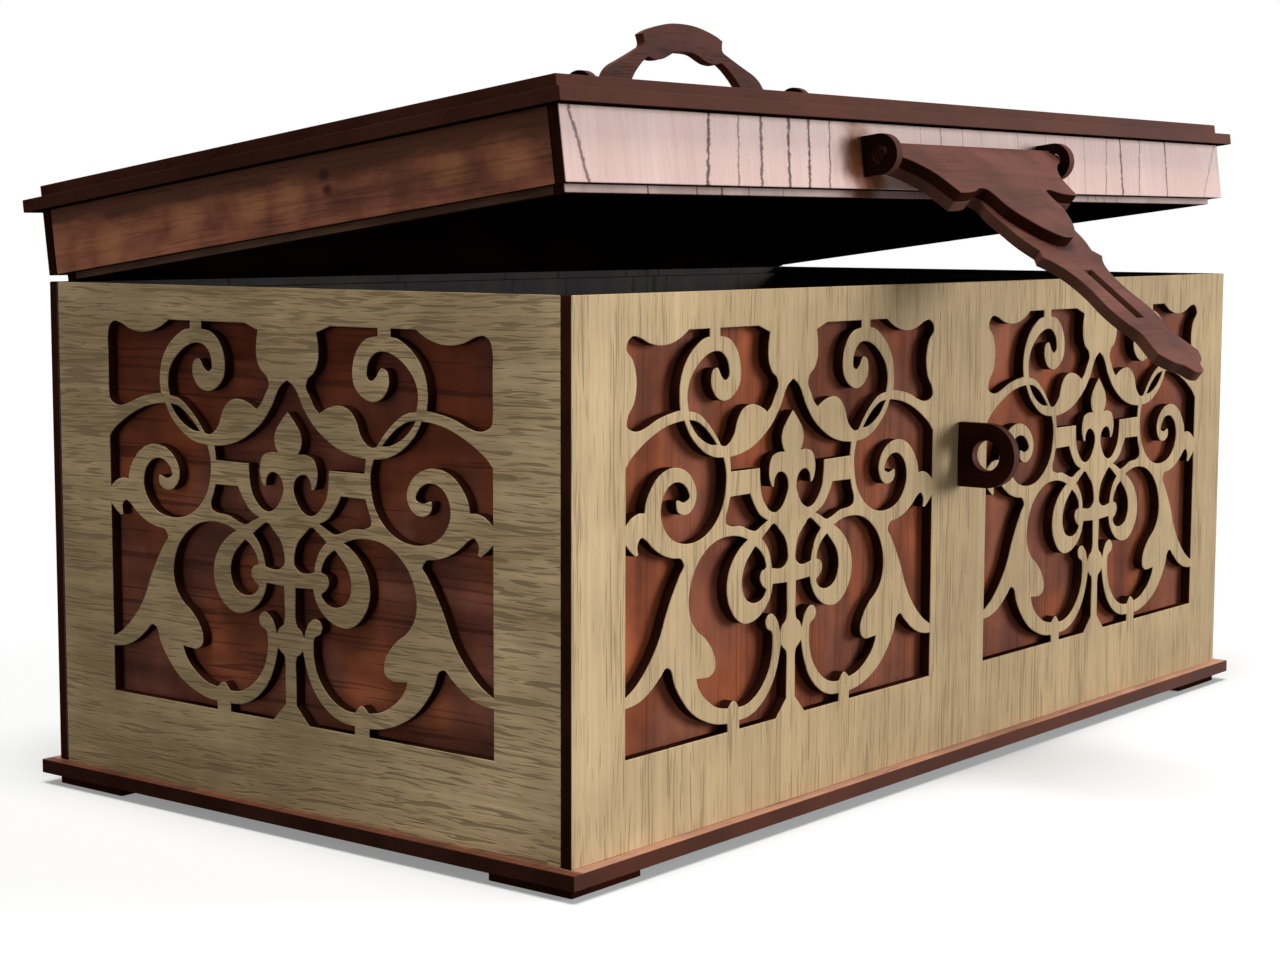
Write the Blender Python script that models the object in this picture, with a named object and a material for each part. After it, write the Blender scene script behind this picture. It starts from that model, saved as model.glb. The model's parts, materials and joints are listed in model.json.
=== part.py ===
"""A wooden keepsake box, cut from flat sheet.

Oak walls with scroll windows stand in front of closed cherry liners on an overhanging base plate
with four feet. The lid has low panels, an inner lip that drops into the box, two top plates, a
folding arched handle and a winged hasp that goes over a staple on the front. Wooden leaf hinges
join it to the back wall.

Metres, +Z up. X runs along the front, Y from the front to the back, and Z = 0 is under the feet.
The model is built in the box's own frame, whose Y = 0 is the front wall's face, and the frame is
then shifted along Y so that the middle of the whole object's reach is at the origin.
"""

import math

import bmesh
import bpy
import numpy as np
from mathutils import Matrix

# Sheet and clearances
SHEET = 0.003
GLUE_GAP = 0.0003
RUN_GAP = 0.0003

# Box
BOX_WIDTH = 0.332
BOX_DEPTH = 0.179
WALL_HEIGHT = 0.128
PLATE_OVERHANG = 0.0035
FOOT_SIDE = 0.025
LINER_DROP = 0.0023

# Scroll windows in the walls
WINDOW_SILL = 0.0216
WINDOW_HEAD = 0.0088
LONG_WALL_STILE = 0.0191
LONG_WALL_MIDDLE = 0.0288
SHORT_WALL_STILE = 0.01985

# Lid
LID_HEIGHT = 0.017
LIP_HANG = 0.00175
BACK_LIP_HANG = 0.0021
LID_REST_ANGLE = math.radians(7.39)
LID_OPEN_ANGLE = math.radians(105)

# Hinges on the back wall
HINGE_INSET = 0.060
HINGE_OUT = 0.0095
HINGE_EYE_RADIUS = 0.0052
HINGE_PIN_RADIUS = 0.002
HINGE_PIN_PROUD = 0.001
HINGE_LEAF_NEAR = 0.001
HINGE_LEAF_FAR = 0.014
HEEL_DROP = 0.004
HEEL_FLAT = 0.003

# Hasp and its brackets on the lid's front
HASP_OUT = 0.0054
HASP_UP = 0.0082
HASP_HALF_WIDTH = 0.0439
HASP_TOP = 0.0032
HASP_SHOULDER = 0.002
COVER_REACH = 0.036
ARM_REACH = 0.087
HASP_REST_ANGLE = math.radians(44.6)
PEG_SIDE = 0.003
PEG_HOLE_RADIUS = 0.00245
HASP_BRACKET_RADIUS = 0.0052

# Slot in the hasp, and the staple that it goes over
SLOT_CENTRE = 0.0553
SLOT_END_GAP = 0.001
SLOT_SIDE_GAP = 0.0007
STAPLE_RADIUS = 0.0088
STAPLE_HOLE_RADIUS = 0.0042

# Handle and its brackets on the lid
HANDLE_FROM_FRONT = 0.0857
HANDLE_AXIS_UP = 0.0151
HANDLE_RISE = 0.0375
HANDLE_HALF_SPAN = 0.0501
HANDLE_FOOT_INSET = 0.0016
HANDLE_BRACKET_RADIUS = 0.0057
CHEEK_LENGTH = 0.019
CHEEK_HALF_HEIGHT = 0.0042

# How finely round outlines are faceted
ROUND_STEPS = 24
SMOOTH_STEPS = 6
FACET = 0.0004

# Levels and faces that follow from the sizes above
WALL_BOTTOM = 2 * (SHEET + GLUE_GAP)
RIM = WALL_BOTTOM + WALL_HEIGHT
LID_BOTTOM = RIM + RUN_GAP
LID_PANEL_TOP = LID_BOTTOM + LID_HEIGHT
LAYER = SHEET + GLUE_GAP
LID_TOP = LID_PANEL_TOP + 2 * LAYER
INNER_WIDTH = BOX_WIDTH - 2 * LAYER
SHORT_WALL_LENGTH = BOX_DEPTH - 2 * LAYER
SHORT_LINER_LENGTH = SHORT_WALL_LENGTH - 2 * LAYER
WINDOW_HEIGHT = WALL_HEIGHT - WINDOW_SILL - WINDOW_HEAD
LONG_WINDOW_WIDTH = (BOX_WIDTH - 2 * LONG_WALL_STILE - LONG_WALL_MIDDLE) / 2
SHORT_WINDOW_WIDTH = SHORT_WALL_LENGTH - 2 * SHORT_WALL_STILE
HINGE_Y = BOX_DEPTH + HINGE_OUT
HINGE_Z = (RIM + LID_BOTTOM) / 2
HASP_Z = LID_BOTTOM + HASP_UP
STAPLE_Z = HASP_Z - SLOT_CENTRE
HANDLE_Z = LID_TOP + HANDLE_AXIS_UP
ARCH_HALF_SPAN = HANDLE_HALF_SPAN - HANDLE_FOOT_INSET

# Half of one scroll window, as the holes that are cut out of the wall. Each point is (across, up):
# across counts from the middle line, where 68 is the window's edge, and up is hundredths of its
# height. CORNER marks a sharp turn, and the outline runs smoothly through the other points.
CORNER = True
WINDOW_EDGE_SHARE = 68
UPPER_CURL_SHARES = [
    (15.2, 100, CORNER), (31.3, 100, CORNER), (31.3, 98, CORNER), (27, 97), (24, 94), (22.7, 90),
    (23.2, 86),
    (25.5, 83.5), (29.5, 82.2), (33, 83.5), (34.9, 86.5), (34, 90), (32.5, 90.4), (30.4, 88),
    (29, 87.2), (27.7, 88), (27.6, 90), (28.6, 92.4), (31, 94.2), (34, 94.4), (38, 93), (41, 90.8),
    (43.5, 87.7), (44.4, 84.5), (43.8, 80.5, CORNER), (40, 79.7), (36.5, 77.5), (33.5, 74.8),
    (30.5, 71.3, CORNER), (28.5, 71.2), (27, 72), (25.2, 74), (24, 77), (22, 79.5), (19.5, 80.6),
    (16.5, 80.6), (14, 79.9), (11.2, 78.5, CORNER), (9.8, 79.6), (8.2, 82), (6.6, 85), (7.3, 86.8),
    (9.4, 88.4), (10.8, 91), (11, 95), (10.4, 98.3, CORNER)]
UPPER_CORNER_SHARES = [
    (35.6, 98, CORNER), (35.6, 100, CORNER), (43.8, 100, CORNER), (47, 98.2), (50.5, 97), (55, 96.6),
    (59.5, 97.4), (63, 98.8), (65.5, 99.1), (67.2, 98)]
LONG_WALL_EDGE_SHARES = [(67.8, 96.5), (65.3, 93.5), (64, 89), (65, 83.5), (67.3, 80.3)]
SHORT_WALL_EDGE_SHARES = [(68, 95.5), (68, 91), (68, 85), (68, 80.5)]
BELOW_CORNER_SHARES = [
    (67.6, 78.5), (65.5, 77.2), (63, 77), (60.5, 77.6), (56, 79.3), (51, 80.4), (47.2, 80.9, CORNER),
    (47.6, 84.5), (46.8, 89), (44.5, 93), (41, 96), (37.5, 97.7)]
LENS_SHARES = [
    (32.4, 71.7, CORNER), (35, 74.3), (38, 76.6), (41, 78), (43.7, 78.4, CORNER), (42.3, 76.5),
    (40, 74.3), (37, 72.6), (34.5, 71.8)]
CROWN_SHARES = [
    (0, 86.2), (2, 85), (6, 79), (9, 75.5), (13, 72.5), (18, 70), (22, 68.9), (27, 68.3, CORNER),
    (26.5, 64.7, CORNER), (14.3, 64.6, CORNER), (14.1, 61), (13.5, 58), (11.5, 55), (9.5, 53.4),
    (7.2, 52.9), (5, 53.8), (2.7, 56.5), (1.8, 59), (2.5, 61.5), (4.5, 62.9), (6.3, 62.9),
    (7.6, 61.8), (8.2, 59.4, CORNER), (8.9, 59.5), (9.9, 61), (10.2, 64.5), (9, 67), (6.5, 67.9),
    (3.5, 67.9, CORNER), (4.5, 69.5), (4.9, 71.5), (4.3, 73.5), (2.5, 75.8), (0, 78.3, CORNER)]
UNDER_BAR_SHARES = [
    (18.4, 58.6, CORNER), (26.8, 58.5, CORNER), (27.5, 56.3), (28.6, 53.3), (28.3, 52), (27, 51.4),
    (22, 50.8), (18, 49.4), (16, 49), (13, 50.2), (10.6, 51.2, CORNER), (14, 52.8), (16.5, 55.5)]
SIDE_CURL_SHARES = [
    (29.7, 68.4, CORNER), (33, 68.7), (37, 70), (40.5, 72.2), (43.5, 75), (45.6, 78.4, CORNER),
    (49, 78.1), (54, 77), (59, 75), (63, 72.8), (66.5, 70.3), (68, 68.6, CORNER), (68, 55.2, CORNER),
    (65.5, 57), (63, 57.7), (60.8, 57.6, CORNER), (60.3, 60), (58.5, 63), (55.5, 65.8), (52, 67.2),
    (48, 67.3), (44, 65.8), (41.5, 63.3), (40.5, 60.3), (41.2, 58), (43.5, 56), (46, 55.8),
    (48.3, 57), (48.5, 59.4), (45.5, 58.8), (43.4, 59.8), (44.2, 61.8), (46.5, 63.5), (49.5, 63.8),
    (52.5, 62.3), (54.3, 59.5), (54.6, 56.5), (53, 52.8), (50, 50.2), (46, 48.9), (42, 48.7),
    (37.5, 49.7), (33, 52.5), (29.9, 56.5), (28.7, 60.5), (28.5, 64.5)]
BUD_SHARES = [
    (8, 50.1), (5.5, 48.3), (3, 45.8), (1.9, 43), (1.9, 40), (3, 39), (8.7, 38.9, CORNER), (9.2, 41),
    (10.5, 44), (13.2, 46.9, CORNER), (10.5, 48.8)]
TEARDROP_SHARES = [
    (16, 45.2, CORNER), (18, 43.5), (20.3, 41), (21.5, 38), (21.4, 35), (19.8, 32.3), (17, 31),
    (14.5, 31), (12.3, 32), (11.2, 33.6), (12.9, 34.9), (13.9, 36.7), (13.3, 38.4), (11.3, 39.3),
    (11.7, 41), (13.5, 43.5)]
BELLY_SHARES = [
    (2, 34.5, CORNER), (8.3, 34.8, CORNER), (9.2, 32), (11.2, 29.3), (14.2, 27.2), (17.5, 26.2),
    (20.5, 26.2), (23.5, 27.5), (26, 30), (27.6, 33), (28, 36), (27.3, 39.5), (25.5, 42.5),
    (22.5, 45.3), (19.2, 47.2, CORNER), (23, 48.4), (28, 48.8), (33, 48), (37, 46), (40.5, 42.8),
    (42.8, 38.5), (43.5, 34), (42.5, 30), (40.3, 27.2), (36.5, 24.5), (34, 21.8), (32.5, 18.5),
    (32.7, 16.5), (35, 15), (37.5, 15), (40.2, 15.2, CORNER), (39.8, 13.8), (38.2, 11.3), (35.5, 9),
    (32, 7), (27.3, 5.9, CORNER), (24.8, 7.5), (22.5, 5.5, CORNER), (19.5, 5.7), (15.5, 7.2),
    (12, 10), (9.5, 13.5), (8.4, 17), (8.2, 20), (8.6, 22.5), (10.9, 24), (11.3, 25.5), (10.3, 27),
    (8.8, 27.3), (7, 26.3), (4.9, 22, CORNER), (3.8, 23.8), (2.5, 24.7), (1.9, 26.5), (1.9, 30)]
STEM_SHARES = [
    (1.9, 15.5), (1.9, 12), (1.9, 4.6, CORNER), (6.5, 0, CORNER), (22.3, 0, CORNER),
    (22.4, 2.2, CORNER), (19, 2.4), (15, 3.6), (11, 6.2), (8, 9.5), (6, 13.5), (4.5, 18.8, CORNER),
    (3.3, 17.7), (2.3, 17)]
LOWER_CORNER_SHARES = [
    (27.3, 0, CORNER), (27.4, 2.1, CORNER), (32, 2.7), (37, 4.3), (42, 7), (46, 10.8), (49, 15),
    (51, 19.2), (52.1, 19.6), (54.5, 17.8), (58, 15.2), (62, 13.2), (65.5, 12.4), (68, 12.2, CORNER),
    (68, 0, CORNER)]
LEAF_SHARES = [
    (68, 14.8, CORNER), (64, 17), (60.5, 20), (57, 24), (54.5, 28), (52.5, 32.5), (50, 37),
    (47, 41.5), (45.5, 43.5), (46.5, 45.1), (50, 45.8), (54, 47), (58, 49.3), (60.5, 51.3),
    (62, 51.9), (63.4, 50.5), (63.2, 48, CORNER), (64.2, 47.7, CORNER), (66.3, 49.2),
    (68, 50.8, CORNER)]

# The hasp's outlines below its shoulder, one half each. Across is hundredths of HASP_HALF_WIDTH,
# and down is hundredths of COVER_REACH or of ARM_REACH, from the axis of the pegs.
COVER_SHARES = [
    (91, 10), (83.2, 16.7), (76.3, 26.4), (72.9, 38.9), (71.3, 48.3, CORNER), (61.5, 48),
    (51.3, 46.1), (42.1, 42.5), (36.4, 43.9), (34.2, 51.4), (33.5, 63.9), (27.3, 77.8),
    (15.9, 92.5), (5.7, 99.2), (0, 100)]
ARM_SHARES = [
    (91, 4.1), (83.2, 6.9), (76.3, 10.9), (72.9, 16.1), (71.3, 20, CORNER), (61.5, 19.9),
    (51.3, 19.1), (42.1, 17.6), (39.2, 19.5), (41, 24.7), (39.9, 31), (37.6, 37.9),
    (32.3, 43.1, CORNER), (37.6, 46, CORNER), (28.5, 50), (23.5, 55.2), (22.3, 60.9), (25.1, 70.1),
    (23.9, 75.9), (20, 81.6), (23.9, 87.4), (26.2, 90.8, CORNER), (18.2, 94.8), (10.3, 96.6),
    (5.7, 99.4), (0, 100, CORNER)]

# Half of the handle's arch: across is hundredths of ARCH_HALF_SPAN, and up of HANDLE_RISE.
ARCH_SHARES = [
    (0, 100), (12.4, 99.2), (24.7, 96.3), (35.1, 92.4), (40.2, 89.5, CORNER), (39.2, 85.5),
    (39, 82.1), (40.4, 79.7, CORNER), (49.5, 74.7), (61.9, 68.2), (71.1, 63.2), (75.7, 58.9),
    (79.4, 53), (85, 46.5), (93, 41), (100, 36, CORNER), (99, 30), (94, 27.4, CORNER),
    (70, 27.4, CORNER), (62.5, 36), (57.5, 46), (53, 55.3), (47.4, 62.4), (41.2, 68.4), (36.1, 71.6),
    (32, 70.3), (26.8, 70.3), (21.6, 71.3), (16.5, 73.7), (10.3, 76.8), (0, 77.9)]

OAK = (0.56, 0.43, 0.25, 1)
CHERRY = (0.27, 0.09, 0.045, 1)
DARK_WOOD = (0.16, 0.055, 0.035, 1)
CRACKLED_PAINT = (0.75, 0.60, 0.55, 1)
PIN_WOOD = (0.42, 0.28, 0.15, 1)

FACING_FRONT = (math.pi / 2, 0, 0)
FACING_SIDE = (math.pi / 2, 0, math.pi / 2)


def swing(point, angle):
    """Where a (Y, Z) point about an axis goes when its body opens by an angle."""
    y, z = point
    return (y * math.cos(angle) + z * math.sin(angle), z * math.cos(angle) - y * math.sin(angle))


def smooth_run(points):
    """A smooth line through points, with each slope weighted by the nearness of its neighbours."""
    if len(points) < 3:
        return points
    steps = np.diff(points, axis=0)
    lengths = np.hypot(steps[:, 0], steps[:, 1])[:, None]
    slopes = steps / lengths
    inner = (slopes[:-1] * lengths[1:] + slopes[1:] * lengths[:-1]) / (lengths[1:] + lengths[:-1])
    first = (3 * slopes[0] - inner[0]) / 2
    last = (3 * slopes[-1] - inner[-1]) / 2
    tangents = np.vstack([first, inner, last])
    t = np.linspace(0, 1, SMOOTH_STEPS, endpoint=False)[None, :, None]
    start, end = points[:-1, None], points[1:, None]
    start_slope, end_slope = (tangents[:-1] * lengths)[:, None], (tangents[1:] * lengths)[:, None]
    curve = (start * (2 * t**3 - 3 * t**2 + 1) + end * (3 * t**2 - 2 * t**3)
             + start_slope * (t**3 - 2 * t**2 + t) + end_slope * (t**3 - t**2))
    return np.vstack([curve.reshape(-1, 2), points[-1:]])


def thin(points):
    """Leave out the points that lie within FACET of the line between those that are kept."""
    along = points[-1] - points[0]
    length = math.hypot(along[0], along[1])
    away = points - points[0]
    if length > FACET:
        offsets = abs(away[:, 0] * along[1] - away[:, 1] * along[0]) / length
    else:
        offsets = np.hypot(away[:, 0], away[:, 1])
    worst = int(np.argmax(offsets))
    if len(points) < 3 or offsets[worst] < FACET:
        return points[[0, -1]]
    return np.vstack([thin(points[:worst + 1])[:-1], thin(points[worst:])])


def scaled(shares, across, up):
    """The points of a list of shares at real size, and which of them are corners."""
    points = np.array([share[:2] for share in shares], dtype=float) * (across, up)
    corners = [len(share) > 2 for share in shares]
    return points, corners


def open_outline(shares, across, up):
    """A smooth, thinned line through an open list of shares."""
    points, corners = scaled(shares, across, up)
    stops = [0] + [i for i in range(1, len(points) - 1) if corners[i]] + [len(points) - 1]
    runs = [thin(smooth_run(points[a:b + 1])) for a, b in zip(stops, stops[1:])]
    return np.vstack([run[:-1] for run in runs] + [runs[-1][-1:]])


def closed_outline(shares, across, up):
    """A smooth, thinned loop through a list of shares that has at least one corner."""
    first = [len(share) > 2 for share in shares].index(True)
    turned = shares[first:] + shares[:first + 1]
    return open_outline(turned, across, up)[:-1]


def mirrored(points):
    return points[::-1] * (-1, 1)


def both_halves(half):
    """A loop from a half outline that starts and ends on the middle line."""
    return np.vstack([half, mirrored(half)[1:-1]])


def window_loops(middle, width, edge_shares):
    """The holes of one scroll window whose middle line is at the given place along the wall."""
    across = width / 2 / WINDOW_EDGE_SHARE
    up = WINDOW_HEIGHT / 100
    corner_hole = UPPER_CORNER_SHARES + edge_shares + BELOW_CORNER_SHARES
    halves = [closed_outline(shares, across, up) for shares in (
        UPPER_CURL_SHARES, corner_hole, LENS_SHARES, UNDER_BAR_SHARES, SIDE_CURL_SHARES, BUD_SHARES,
        TEARDROP_SHARES, BELLY_SHARES, STEM_SHARES, LOWER_CORNER_SHARES, LEAF_SHARES)]
    loops = [both_halves(open_outline(CROWN_SHARES, across, up))]
    loops += halves + [mirrored(half) for half in halves]
    return [loop + (middle, WINDOW_SILL) for loop in loops]


def rectangle(low, high):
    return np.array([low, (high[0], low[1]), high, (low[0], high[1])])


def ring(centre, radius):
    angles = np.arange(ROUND_STEPS) * 2 * math.pi / ROUND_STEPS
    return np.array(centre) + radius * np.stack([np.cos(angles), np.sin(angles)], axis=1)


def taut(points):
    """The outline of a band pulled tight round all the points."""
    ordered = sorted(set((float(x), float(y)) for x, y in points))
    chains = []
    for line in (ordered, ordered[::-1]):
        chain = []
        for point in line:
            while len(chain) > 1:
                (ax, ay), (bx, by) = chain[-2:]
                if (bx - ax) * (point[1] - ay) - (by - ay) * (point[0] - ax) > 0:
                    break
                chain.pop()
            chain.append(point)
        chains += chain[:-1]
    return np.array(chains)


def nose_plate(root, centre, radius):
    """A plate that spans its root's corner points and a round nose."""
    return taut(list(root) + list(ring(centre, radius)))


def wood(name, colour):
    material = bpy.data.materials.new(name)
    material.use_nodes = True
    shader = material.node_tree.nodes["Principled BSDF"]
    shader.inputs["Base Color"].default_value = colour
    shader.inputs["Roughness"].default_value = 0.6
    material.diffuse_color = colour
    return material


def add(name, data, carrier, place, facing, colour):
    """Put one piece in the model, carried by an empty."""
    piece = bpy.data.objects.new(name, data)
    data.materials.append(wood(name, colour))
    parts.objects.link(piece)
    piece.parent = carrier
    piece.location = place
    piece.rotation_euler = facing
    return piece


def add_board(name, size, middle, carrier, colour):
    """A rectangular board, given its size and its middle in the carrier's frame."""
    mesh = bpy.data.meshes.new(name)
    shape = bmesh.new()
    bmesh.ops.create_cube(shape, size=1, matrix=Matrix.Diagonal((*size, 1)))
    shape.to_mesh(mesh)
    shape.free()
    return add(name, mesh, carrier, middle, (0, 0, 0), colour)


def add_cut_sheet(name, loops, place, facing, carrier, colour):
    """A flat piece cut from the sheet: the first loop is its edge and the others are holes."""
    curve = bpy.data.curves.new(name, "CURVE")
    curve.dimensions = "2D"
    curve.fill_mode = "BOTH"
    curve.extrude = SHEET / 2
    for loop in loops:
        spline = curve.splines.new("POLY")
        spline.points.add(len(loop) - 1)
        flat = np.zeros((len(loop), 4))
        flat[:, :2] = loop
        spline.points.foreach_set("co", flat.ravel())
        spline.use_cyclic_u = True
        spline.use_smooth = False
    return add(name, curve, carrier, place, facing, colour)


def add_pin(name, radius, length, middle, carrier, colour):
    """A round pin along X."""
    mesh = bpy.data.meshes.new(name)
    shape = bmesh.new()
    bmesh.ops.create_cone(shape, cap_ends=True, segments=ROUND_STEPS, radius1=radius,
                          radius2=radius, depth=length)
    shape.to_mesh(mesh)
    shape.free()
    mesh.shade_smooth()
    mesh.set_sharp_from_angle(angle=math.radians(40))
    return add(name, mesh, carrier, middle, (0, math.pi / 2, 0), colour)


def add_empty(name, carrier, place, turn):
    empty = bpy.data.objects.new(name, None)
    parts.objects.link(empty)
    empty.parent = carrier
    empty.location = place
    empty.rotation_euler = (-turn, 0, 0)
    return empty


def build_base(box):
    plate = (BOX_WIDTH + 2 * PLATE_OVERHANG, BOX_DEPTH + 2 * PLATE_OVERHANG, SHEET)
    plate_z = SHEET + GLUE_GAP + SHEET / 2
    add_board("base_plate", plate, (0, BOX_DEPTH / 2, plate_z), box, DARK_WOOD)
    foot_x = BOX_WIDTH / 2 - FOOT_SIDE / 2
    for depth_name, foot_y in (("front", FOOT_SIDE / 2), ("back", BOX_DEPTH - FOOT_SIDE / 2)):
        for side_name, side in (("left", -1), ("right", 1)):
            add_board(f"foot_{depth_name}_{side_name}", (FOOT_SIDE, FOOT_SIDE, SHEET),
                      (side * foot_x, foot_y, SHEET / 2), box, DARK_WOOD)


def build_walls(box):
    """The oak walls with their windows. The long ones cover the ends of the short ones."""
    edge = rectangle((-BOX_WIDTH / 2, 0), (BOX_WIDTH / 2, WALL_HEIGHT))
    pitch = LONG_WINDOW_WIDTH + LONG_WALL_MIDDLE
    loops = [edge]
    for middle in (-pitch / 2, pitch / 2):
        loops += window_loops(middle, LONG_WINDOW_WIDTH, LONG_WALL_EDGE_SHARES)
    for name, y in (("front_fret_panel", SHEET / 2), ("back_fret_panel", BOX_DEPTH - SHEET / 2)):
        add_cut_sheet(name, loops, (0, y, WALL_BOTTOM), FACING_FRONT, box, OAK)
    edge = rectangle((-SHORT_WALL_LENGTH / 2, 0), (SHORT_WALL_LENGTH / 2, WALL_HEIGHT))
    loops = [edge] + window_loops(0, SHORT_WINDOW_WIDTH, SHORT_WALL_EDGE_SHARES)
    for name, side in (("left_fret_panel", -1), ("right_fret_panel", 1)):
        x = side * (BOX_WIDTH / 2 - SHEET / 2)
        add_cut_sheet(name, loops, (x, BOX_DEPTH / 2, WALL_BOTTOM), FACING_SIDE, box, OAK)


def build_liners(box):
    """The closed inner walls. They stop short of the rim, to take the lid's lip."""
    height = WALL_HEIGHT - LINER_DROP
    middle_z = WALL_BOTTOM + height / 2
    inset = LAYER + SHEET / 2
    for name, y in (("front_liner", inset), ("back_liner", BOX_DEPTH - inset)):
        add_board(name, (INNER_WIDTH, SHEET, height), (0, y, middle_z), box, CHERRY)
    for name, side in (("left_liner", -1), ("right_liner", 1)):
        x = side * (BOX_WIDTH / 2 - inset)
        add_board(name, (SHEET, SHORT_LINER_LENGTH, height), (x, BOX_DEPTH / 2, middle_z), box,
                  CHERRY)


def build_staple(box):
    root = [(-GLUE_GAP, -STAPLE_RADIUS), (-GLUE_GAP, STAPLE_RADIUS)]
    centre = (-STAPLE_RADIUS, 0)
    loops = [nose_plate(root, centre, STAPLE_RADIUS), ring(centre, STAPLE_HOLE_RADIUS)]
    add_cut_sheet("staple", loops, (0, 0, STAPLE_Z), FACING_SIDE, box, DARK_WOOD)


def lid_leaf_outline():
    """The lid's hinge leaf. Its heel lands on the back wall when the lid is fully open."""
    root_y = -HINGE_OUT + GLUE_GAP
    stop = -HINGE_OUT + RUN_GAP
    heel = [swing((stop, -drop), -LID_OPEN_ANGLE) for drop in (HEEL_DROP, HEEL_DROP + HEEL_FLAT)]
    root = [(root_y, HINGE_LEAF_NEAR), (root_y, HINGE_LEAF_FAR)]
    return nose_plate(root + heel, (0, 0), HINGE_EYE_RADIUS)


def build_hinges(box, lid):
    """Two hinges, each with two leaves on the box, one on the lid between them, and a pin."""
    hole = ring((0, 0), HINGE_PIN_RADIUS + RUN_GAP)
    root_y = -HINGE_OUT + GLUE_GAP
    box_leaf = nose_plate([(root_y, -HINGE_LEAF_NEAR), (root_y, -HINGE_LEAF_FAR)], (0, 0),
                          HINGE_EYE_RADIUS)
    lid_leaf = lid_leaf_outline()
    step = SHEET + RUN_GAP
    pin_length = 2 * step + SHEET + 2 * HINGE_PIN_PROUD
    for side_name, side in (("left", -1), ("right", 1)):
        x = side * (BOX_WIDTH / 2 - HINGE_INSET)
        for leaf_name, offset in (("outer", side * step), ("inner", -side * step)):
            add_cut_sheet(f"{side_name}_hinge_leaf_{leaf_name}", [box_leaf, hole],
                          (x + offset, HINGE_Y, HINGE_Z), FACING_SIDE, box, DARK_WOOD)
        add_cut_sheet(f"{side_name}_hinge_lid_leaf", [lid_leaf, hole], (x, 0, 0), FACING_SIDE, lid,
                      DARK_WOOD)
        add_pin(f"{side_name}_hinge_pin", HINGE_PIN_RADIUS, pin_length, (x, HINGE_Y, HINGE_Z), box,
                PIN_WOOD)


def build_lid(lid):
    """The lid's panels, lips and top plates, about the hinge axis."""
    middle_y = BOX_DEPTH / 2 - HINGE_Y
    panel_z = LID_BOTTOM + LID_HEIGHT / 2 - HINGE_Z
    for name, y in (("lid_front_panel", SHEET / 2), ("lid_back_panel", BOX_DEPTH - SHEET / 2)):
        add_board(name, (BOX_WIDTH, SHEET, LID_HEIGHT), (0, y - HINGE_Y, panel_z), lid,
                  CRACKLED_PAINT)
    for name, side in (("lid_left_panel", -1), ("lid_right_panel", 1)):
        x = side * (BOX_WIDTH / 2 - SHEET / 2)
        add_board(name, (SHEET, SHORT_WALL_LENGTH, LID_HEIGHT), (x, middle_y, panel_z), lid,
                  DARK_WOOD)
    inset = LAYER + SHEET / 2
    # The back lip hangs a little lower, so that no light shows at the hinges with the lid ajar.
    for name, y, hang in (("lid_front_lip", inset, LIP_HANG),
                          ("lid_back_lip", BOX_DEPTH - inset, BACK_LIP_HANG)):
        height = LID_HEIGHT + hang
        add_board(name, (INNER_WIDTH, SHEET, height),
                  (0, y - HINGE_Y, LID_PANEL_TOP - height / 2 - HINGE_Z), lid, CRACKLED_PAINT)
    lip_height = LID_HEIGHT + LIP_HANG
    lip_z = LID_PANEL_TOP - lip_height / 2 - HINGE_Z
    for name, side in (("lid_left_lip", -1), ("lid_right_lip", 1)):
        x = side * (BOX_WIDTH / 2 - inset)
        add_board(name, (SHEET, SHORT_LINER_LENGTH, lip_height), (x, middle_y, lip_z), lid,
                  CRACKLED_PAINT)
    plate_z = LID_PANEL_TOP + GLUE_GAP + SHEET / 2 - HINGE_Z
    wide = (BOX_WIDTH + 2 * PLATE_OVERHANG, BOX_DEPTH + 2 * PLATE_OVERHANG, SHEET)
    add_board("lid_frame_plate", wide, (0, middle_y, plate_z), lid, DARK_WOOD)
    add_board("lid_top_plate", (BOX_WIDTH, BOX_DEPTH, SHEET), (0, middle_y, plate_z + LAYER), lid,
              DARK_WOOD)


def build_brackets(lid):
    """The plates on the lid that the hasp and the handle turn in."""
    hole = ring((0, 0), PEG_HOLE_RADIUS)
    root_y = HASP_OUT - GLUE_GAP
    hasp_plate = nose_plate([(root_y, -HASP_BRACKET_RADIUS), (root_y, HASP_BRACKET_RADIUS)], (0, 0),
                            HASP_BRACKET_RADIUS)
    root_z = GLUE_GAP - HANDLE_AXIS_UP
    handle_plate = nose_plate([(-HANDLE_BRACKET_RADIUS, root_z), (HANDLE_BRACKET_RADIUS, root_z)],
                              (0, 0), HANDLE_BRACKET_RADIUS)
    for side_name, side in (("left", -1), ("right", 1)):
        x = side * (HASP_HALF_WIDTH + RUN_GAP + SHEET / 2)
        add_cut_sheet(f"hasp_bracket_{side_name}", [hasp_plate, hole],
                      (x, -HASP_OUT - HINGE_Y, HASP_Z - HINGE_Z), FACING_SIDE, lid, DARK_WOOD)
        x = side * (HANDLE_HALF_SPAN + RUN_GAP + SHEET / 2)
        add_cut_sheet(f"handle_bracket_{side_name}", [handle_plate, hole],
                      (x, HANDLE_FROM_FRONT - HINGE_Y, HANDLE_Z - HINGE_Z), FACING_SIDE, lid,
                      DARK_WOOD)


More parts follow.
